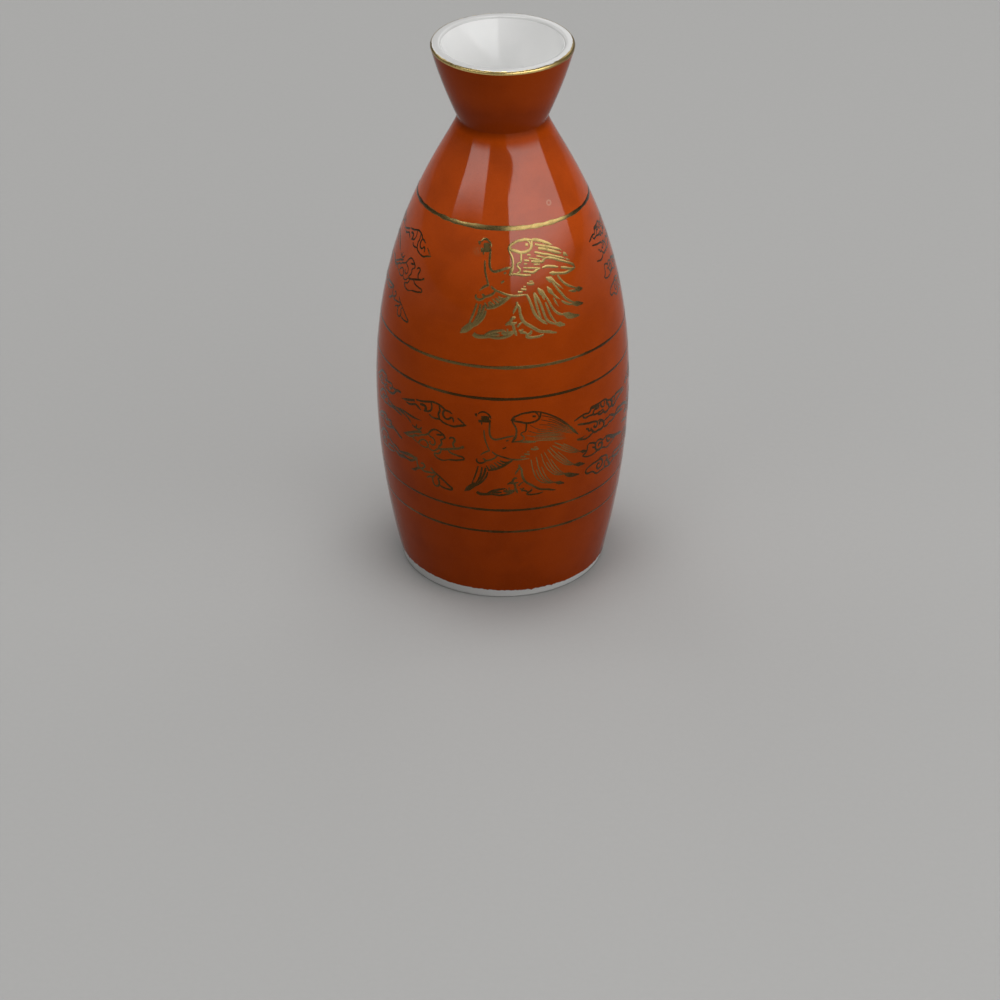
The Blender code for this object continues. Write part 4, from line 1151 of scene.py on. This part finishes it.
# Cloud bank whose tails run far to the right, in the same units
LONG_TAILED_BANK = (
    line(1.6, (-8.0, 14.2), (-5.2, 15.6), (-3.6, 16.6), (-2.2, 17.8), (0.3, 19.0), (2.4, 19.3), (4.4, 19.2),
         (6.4, 18.8), (7.0, 17.8), (6.4, 16.6), (5.0, 16.2), (4.0, 17.0), (4.6, 17.8)),
    line(1.5, (6.6, 17.0), (8.4, 16.8), (10.8, 17.2), (13.0, 17.2), (13.6, 16.0), (12.4, 15.1), (11.0, 14.6),
         (10.2, 15.3)),
    line(1.4, (-8.0, 14.2), (-6.0, 13.4), (-3.4, 13.6), (-1.6, 12.8), (0.6, 12.6), (2.6, 13.4), (4.6, 12.6),
         (7.0, 12.4), (9.3, 12.4)),
    line(1.3, (-2.4, 13.2), (-2.8, 14.8), (-1.2, 15.8), (0.6, 15.6), (1.2, 14.4), (0.2, 13.8)),
    line(1.3, (4.6, 12.7), (5.4, 14.0), (7.2, 14.6), (8.4, 13.8)),
    dab(1.7, (9.0, 12.4), (12.0, 12.6), (14.5, 13.3), (16.4, 14.6), (17.9, 16.0), (19.4, 16.6), (22.2, 16.8)),
    line(1.3, (13.4, 16.4), (15.2, 16.0), (17.4, 16.2), (19.4, 16.6)),
    line(1.5, (-3.4, 6.0), (-2.4, 7.6), (-0.6, 8.8), (1.2, 9.9), (3.4, 10.6), (5.6, 10.4), (7.0, 9.4),
         (6.6, 8.2), (5.2, 8.0), (4.6, 8.9)),
    line(1.5, (1.2, 5.4), (1.6, 7.0), (3.0, 7.6), (4.0, 6.6), (3.2, 5.8)),
    line(1.4, (-3.4, 6.0), (-2.0, 5.2), (0.0, 5.2), (2.0, 5.4), (4.0, 4.8), (5.8, 4.9), (8.0, 5.3)),
    line(1.3, (7.0, 9.0), (8.6, 8.9), (10.0, 8.1), (12.2, 7.6), (14.2, 7.2), (17.0, 7.4), (19.8, 7.6)),
    line(1.3, (8.4, 8.9), (9.4, 7.4), (9.0, 6.3), (8.0, 5.4)),
    line(1.6, (8.0, 5.3), (11.0, 5.6), (14.0, 6.2), (17.0, 6.2), (20.0, 5.9), (23.2, 5.5)),
    lick(1.5, (19.0, 7.7), (22.4, 8.3), (25.0, 8.4), (28.0, 8.2), (32.0, 7.9), (38.4, 8.0)),
    leaf(2.2, (18.8, 7.4), (23.4, 7.3), (27.0, 6.8)),
    lick(1.3, (25.0, 7.2), (28.0, 6.2), (29.8, 5.2), (31.0, 4.2)),
    line(1.5, (-6.6, -5.8), (-4.6, -4.9), (-2.6, -3.6), (-0.4, -2.6), (2.0, -1.8), (4.4, -1.2), (6.2, -1.5),
         (7.3, -2.5), (6.6, -3.6), (5.2, -3.4), (5.2, -2.5)),
    line(1.6, (7.0, -3.0), (9.2, -2.6), (11.0, -2.2), (12.3, -2.7), (11.8, -3.8), (10.2, -4.1), (9.4, -3.5)),
    line(1.4, (-6.6, -5.8), (-4.2, -6.2), (-2.0, -5.4), (0.6, -5.6), (2.8, -6.6), (5.8, -7.0), (8.0, -6.6),
         (10.0, -6.0), (12.0, -5.4), (14.2, -4.9)),
    line(1.3, (0.0, -5.4), (0.4, -4.2), (1.8, -3.7), (3.0, -4.4), (2.4, -5.2)),
    dab(1.9, (11.8, -4.7), (14.0, -4.3), (16.0, -4.7), (18.0, -5.1), (19.6, -5.9), (21.0, -6.4),
        (22.6, -6.6)),
    line(1.7, (-5.0, -15.6), (-3.4, -13.8), (-2.0, -12.5), (-0.4, -11.4), (1.8, -10.5), (4.2, -10.3),
         (6.6, -10.5), (7.8, -11.6), (7.2, -12.8), (5.8, -12.9), (5.2, -12.0)),
    line(1.4, (-5.0, -15.6), (-3.0, -16.2), (-1.2, -17.4), (-0.4, -18.4), (1.6, -18.9), (4.0, -18.4),
         (7.3, -18.3), (10.0, -18.2), (12.2, -17.6), (14.6, -16.8)),
    line(1.4, (-0.6, -17.8), (0.2, -15.8), (2.0, -14.8), (3.6, -15.4), (3.4, -16.6), (2.2, -16.8)),
    line(1.6, (7.3, -18.2), (7.2, -16.6), (8.6, -15.7), (11.0, -15.6), (13.2, -15.2), (15.2, -15.8)),
    line(1.4, (7.8, -12.0), (9.6, -12.4), (11.8, -13.2), (13.8, -13.6)),
    lick(1.5, (13.4, -13.6), (16.0, -13.4), (18.0, -13.9), (20.0, -14.6), (22.0, -14.2), (24.0, -13.6),
         (27.0, -12.8), (31.5, -12.3)),
    leaf(2.4, (14.6, -15.8), (17.8, -16.4), (20.2, -16.8), (23.0, -15.9), (27.0, -15.7)),
)


@dataclass(frozen=True)
class Placement:
    """Where a drawing lies on the bottle: its middle, and what one of its units is worth."""

    turn: float
    height: float
    degrees: float
    rise: float


class Row(Enum):
    """The two bands of the bottle that carry drawings, with the place of the crane in each."""

    UPPER = Placement(12.0, 87.95 * MM, 0.61, 0.292 * MM)
    LOWER = Placement(11.6, 45.5 * MM, 0.545, 0.302 * MM)


class Side(Enum):
    """The two halves of the bottle, which carry the same drawings, by their turn in degrees."""

    FRONT = 0.0
    BACK = 180.0


@dataclass
class GoldDrawings:
    """The gold cranes, the peaked cloud under each, and the cloud banks between them."""

    form: BottleForm
    gold: bpy.types.Material
    tilt: float = 0.0127
    proud: float = 0.024 * MM
    lens: float = 0.045 * MM
    curve_steps: int = 4
    crane_brush: dict[Row, float] = field(default_factory=lambda: {Row.UPPER: 1.08, Row.LOWER: 0.84})
    bank_brush: dict[Row, float] = field(default_factory=lambda: {Row.UPPER: 0.66, Row.LOWER: 0.78})
    feathers: dict[Row, tuple[Stroke, ...]] = field(default_factory=lambda: {
        Row.UPPER: WING_COVERTS + WING_QUILLS + TAIL_PLUMES,
        Row.LOWER: FINE_QUILLS + FINE_PLUMES,
    })
    banks: dict[Row, dict[str, tuple[tuple[Stroke, ...], Placement]]] = field(default_factory=lambda: {
        Row.UPPER: {
            "left": (TAILED_LEFT_BANK, Placement(-62.3, 85.0 * MM, 1.0, 0.50 * MM)),
            "right": (TAILED_RIGHT_BANK, Placement(78.5, 87.3 * MM, 1.0, 0.50 * MM)),
        },
        Row.LOWER: {
            "outer": (TAILED_LEFT_BANK, Placement(-98.0, 45.0 * MM, 0.56, 0.50 * MM)),
            "middle": (LONG_TAILED_BANK, Placement(-71.0, 46.0 * MM, 0.84, 0.55 * MM)),
            "left": (TAILED_LEFT_BANK, Placement(-34.0, 45.0 * MM, 1.0, 0.55 * MM)),
            "right": (TAILED_RIGHT_BANK, Placement(52.0, 45.0 * MM, 1.0, 0.55 * MM)),
        },
    })

    def drawn(self, strokes: Sequence[Stroke], brush: float) -> bmesh.types.BMesh:
        """Returns strokes as a flat drawing in its own units: closed rods along smooth curves.

        Args:
            strokes: The drawing.
            brush: How broad the brush is, as a share of the widths as written.

        Returns:
            The drawing's mesh.
        """
        curve = bpy.data.curves.new("drawing", "CURVE")
        curve.dimensions = "3D"
        curve.bevel_depth = 1.0
        curve.bevel_resolution = 1
        curve.resolution_u = self.curve_steps
        curve.use_fill_caps = True
        for stroke in strokes:
            spline = curve.splines.new("BEZIER")
            spline.bezier_points.add(len(stroke.points) - 1)
            for number, (knot, place) in enumerate(zip(spline.bezier_points, stroke.points)):
                knot.co = (*place, 0.0)
                knot.handle_left_type = knot.handle_right_type = "AUTO"
                knot.radius = stroke.half_width(number) * brush
        holder = bpy.data.objects.new("drawing", curve)
        bpy.context.scene.collection.objects.link(holder)
        graph = bpy.context.evaluated_depsgraph_get()
        mesh = bpy.data.meshes.new_from_object(holder.evaluated_get(graph))
        bm = bmesh.new()
        bm.from_mesh(mesh)
        bpy.data.objects.remove(holder)
        bpy.data.curves.remove(curve)
        bpy.data.meshes.remove(mesh)
        bmesh.ops.remove_doubles(bm, verts=bm.verts, dist=0.001)
        bmesh.ops.recalc_face_normals(bm, faces=bm.faces)
        return bm

    def lay(self, name: str, strokes: Sequence[Stroke], place: Placement, side: Side, brush: float) -> None:
        """Lays a drawing on the bottle as one gold piece.

        Args:
            name: The solid's name after its material, which the piece's name is made from.
            strokes: The drawing.
            place: Where it lies.
            side: Which half of the bottle it lies on.
            brush: How broad the brush is.
        """
        bm = self.drawn(strokes, brush)
        for vert in bm.verts:
            across, up, out = vert.co
            angle = side.value + place.turn + place.degrees * across
            height = place.height + place.rise * up
            height -= self.tilt * self.form.radius(height) * math.sin(math.radians(angle))
            lift = max(-self.proud, min(self.lens * out, self.proud))
            vert.co = self.form.point(angle, height, lift)
        show(f"{name}_gilding", bm, self.gold, f"gold_{name}")

    def build(self) -> None:
        """Makes every drawing, on both sides."""
        for side in Side:
            for row in Row:
                band, half, brush = row.name.lower(), side.name.lower(), self.crane_brush[row]
                self.lay(f"crane_{band}_{half}", CRANE + self.feathers[row], row.value, side, brush)
                self.lay(f"crane_cloud_{band}_{half}", PEAKED_CLOUD, row.value, side, brush)
                for name, (strokes, place) in self.banks[row].items():
                    self.lay(f"clouds_{band}_{name}_{half}", strokes, place, side, self.bank_brush[row])


@dataclass(frozen=True)
class SoftBox:
    """An upright soft lamp.

    It faces the bottle's axis squarely from facing, in degrees from the front, and is then slid sideways.
    """

    name: str
    facing: float
    slide: float
    low: float
    width: float
    height: float
    radiance: float
    fade: float = 0.0
    distance: float = 0.8

    FADE_STEPS = 6

    def lamp(self, height: float, radiance: float) -> bpy.types.Object:
        """Adds a lamp, unplaced, with its height and radiance, and returns it."""
        light = bpy.data.lights.new(self.name, "AREA")
        light.shape = "RECTANGLE"
        light.size = self.width
        light.size_y = height
        light.energy = radiance * math.pi * self.width * height
        holder = bpy.data.objects.new(self.name, light)
        holder.visible_camera = False
        bpy.context.scene.collection.objects.link(holder)
        return holder

    def stand(self, low: float, height: float, radiance: float) -> None:
        """Adds a lamp on its stand, from its lower edge up."""
        turn = math.radians(self.facing)
        out = Vector((math.sin(turn), -math.cos(turn), 0.0))
        along = Vector((math.cos(turn), math.sin(turn), 0.0))
        holder = self.lamp(height, radiance)
        holder.location = out * self.distance + along * self.slide + Vector((0.0, 0.0, low + height / 2))
        holder.rotation_euler = (math.radians(90.0), 0.0, turn)

    def build(self) -> None:
        """Adds the lamp, and under it the strips in which it runs out to dark."""
        self.stand(self.low, self.height, self.radiance)
        if self.fade:
            strip = self.fade / self.FADE_STEPS
            for number in range(self.FADE_STEPS):
                share = 1.0 - (number + 0.5) / self.FADE_STEPS
                self.stand(self.low - (number + 1) * strip, strip, self.radiance * share)

    def hang(self, height: float) -> None:
        """Adds the lamp over the bottle, facing down from a height."""
        self.lamp(self.height, self.radiance).location = (0.0, 0.0, height)


@dataclass(frozen=True)
class Studio:
    """Pale floor, soft lamps and the camera at the photograph's viewing angle."""

    floor: FloorFinish = FloorFinish()
    floor_radius: float = 4.0
    world_level: float = 0.08
    camera_place: tuple[float, float, float] = (0.0, -0.78677, 0.49236)
    camera_pitch: float = 31.363
    lens: float = 129.715
    sensor: float = 36.0
    shift: tuple[float, float] = (-0.0026, 0.0006)
    lamps: tuple[SoftBox, ...] = (
        SoftBox("left_window", -17.5, -0.594, 0.56, 0.89, 0.14, 2.2, 0.16),
        SoftBox("right_window", 46.0, 0.04, 0.29, 1.31, 0.33, 2.2, 0.17),
        SoftBox("back_left", -135.0, 0.0, 0.35, 0.90, 0.50, 1.0),
        SoftBox("back_right", 150.0, 0.0, 0.35, 0.90, 0.50, 1.0),
    )
    ceiling: SoftBox = SoftBox("ceiling", 0.0, 0.0, 0.0, 3.3, 3.3, 5.4)
    ceiling_height: float = 5.0

    def build(self) -> None:
        """Makes the floor, the light and the camera."""
        bm = bmesh.new()
        bmesh.ops.create_circle(bm, cap_ends=True, radius=self.floor_radius, segments=96)
        mesh = bpy.data.meshes.new("pale_floor")
        bm.to_mesh(mesh)
        bm.free()
        mesh.materials.append(self.floor.make())
        floor = bpy.data.objects.new("pale_floor", mesh)
        bpy.context.scene.collection.objects.link(floor)
        for lamp in self.lamps:
            lamp.build()
        self.ceiling.hang(self.ceiling_height)
        world = bpy.data.worlds.new("studio")
        world.use_nodes = True
        world.node_tree.nodes["Background"].inputs["Color"].default_value = (*[self.world_level] * 3, 1.0)
        bpy.context.scene.world = world
        self.camera()

    def camera(self) -> None:
        """Adds the camera."""
        data = bpy.data.cameras.new("viewpoint")
        data.lens = self.lens
        data.sensor_width = self.sensor
        data.shift_x, data.shift_y = self.shift
        holder = bpy.data.objects.new("viewpoint", data)
        holder.location = self.camera_place
        holder.rotation_euler = (math.radians(90.0 - self.camera_pitch), 0.0, 0.0)
        bpy.context.scene.collection.objects.link(holder)
        bpy.context.scene.camera = holder


def main() -> None:
    """Builds the bottle and its studio."""
    logging.basicConfig(level=logging.INFO, format="%(name)s: %(message)s")
    bpy.context.scene.view_settings.view_transform = "Standard"
    form = BottleForm.from_frame()
    gold = GoldFinish().make()
    Porcelain(form, PorcelainFinish().make(), GlazeFinish().make()).build()
    EnamelCoat(form, EnamelFinish().make()).build()
    GoldBands(form, gold).build()
    GoldDrawings(form, gold).build()
    Studio().build()


if __name__ == "__main__":
    main()
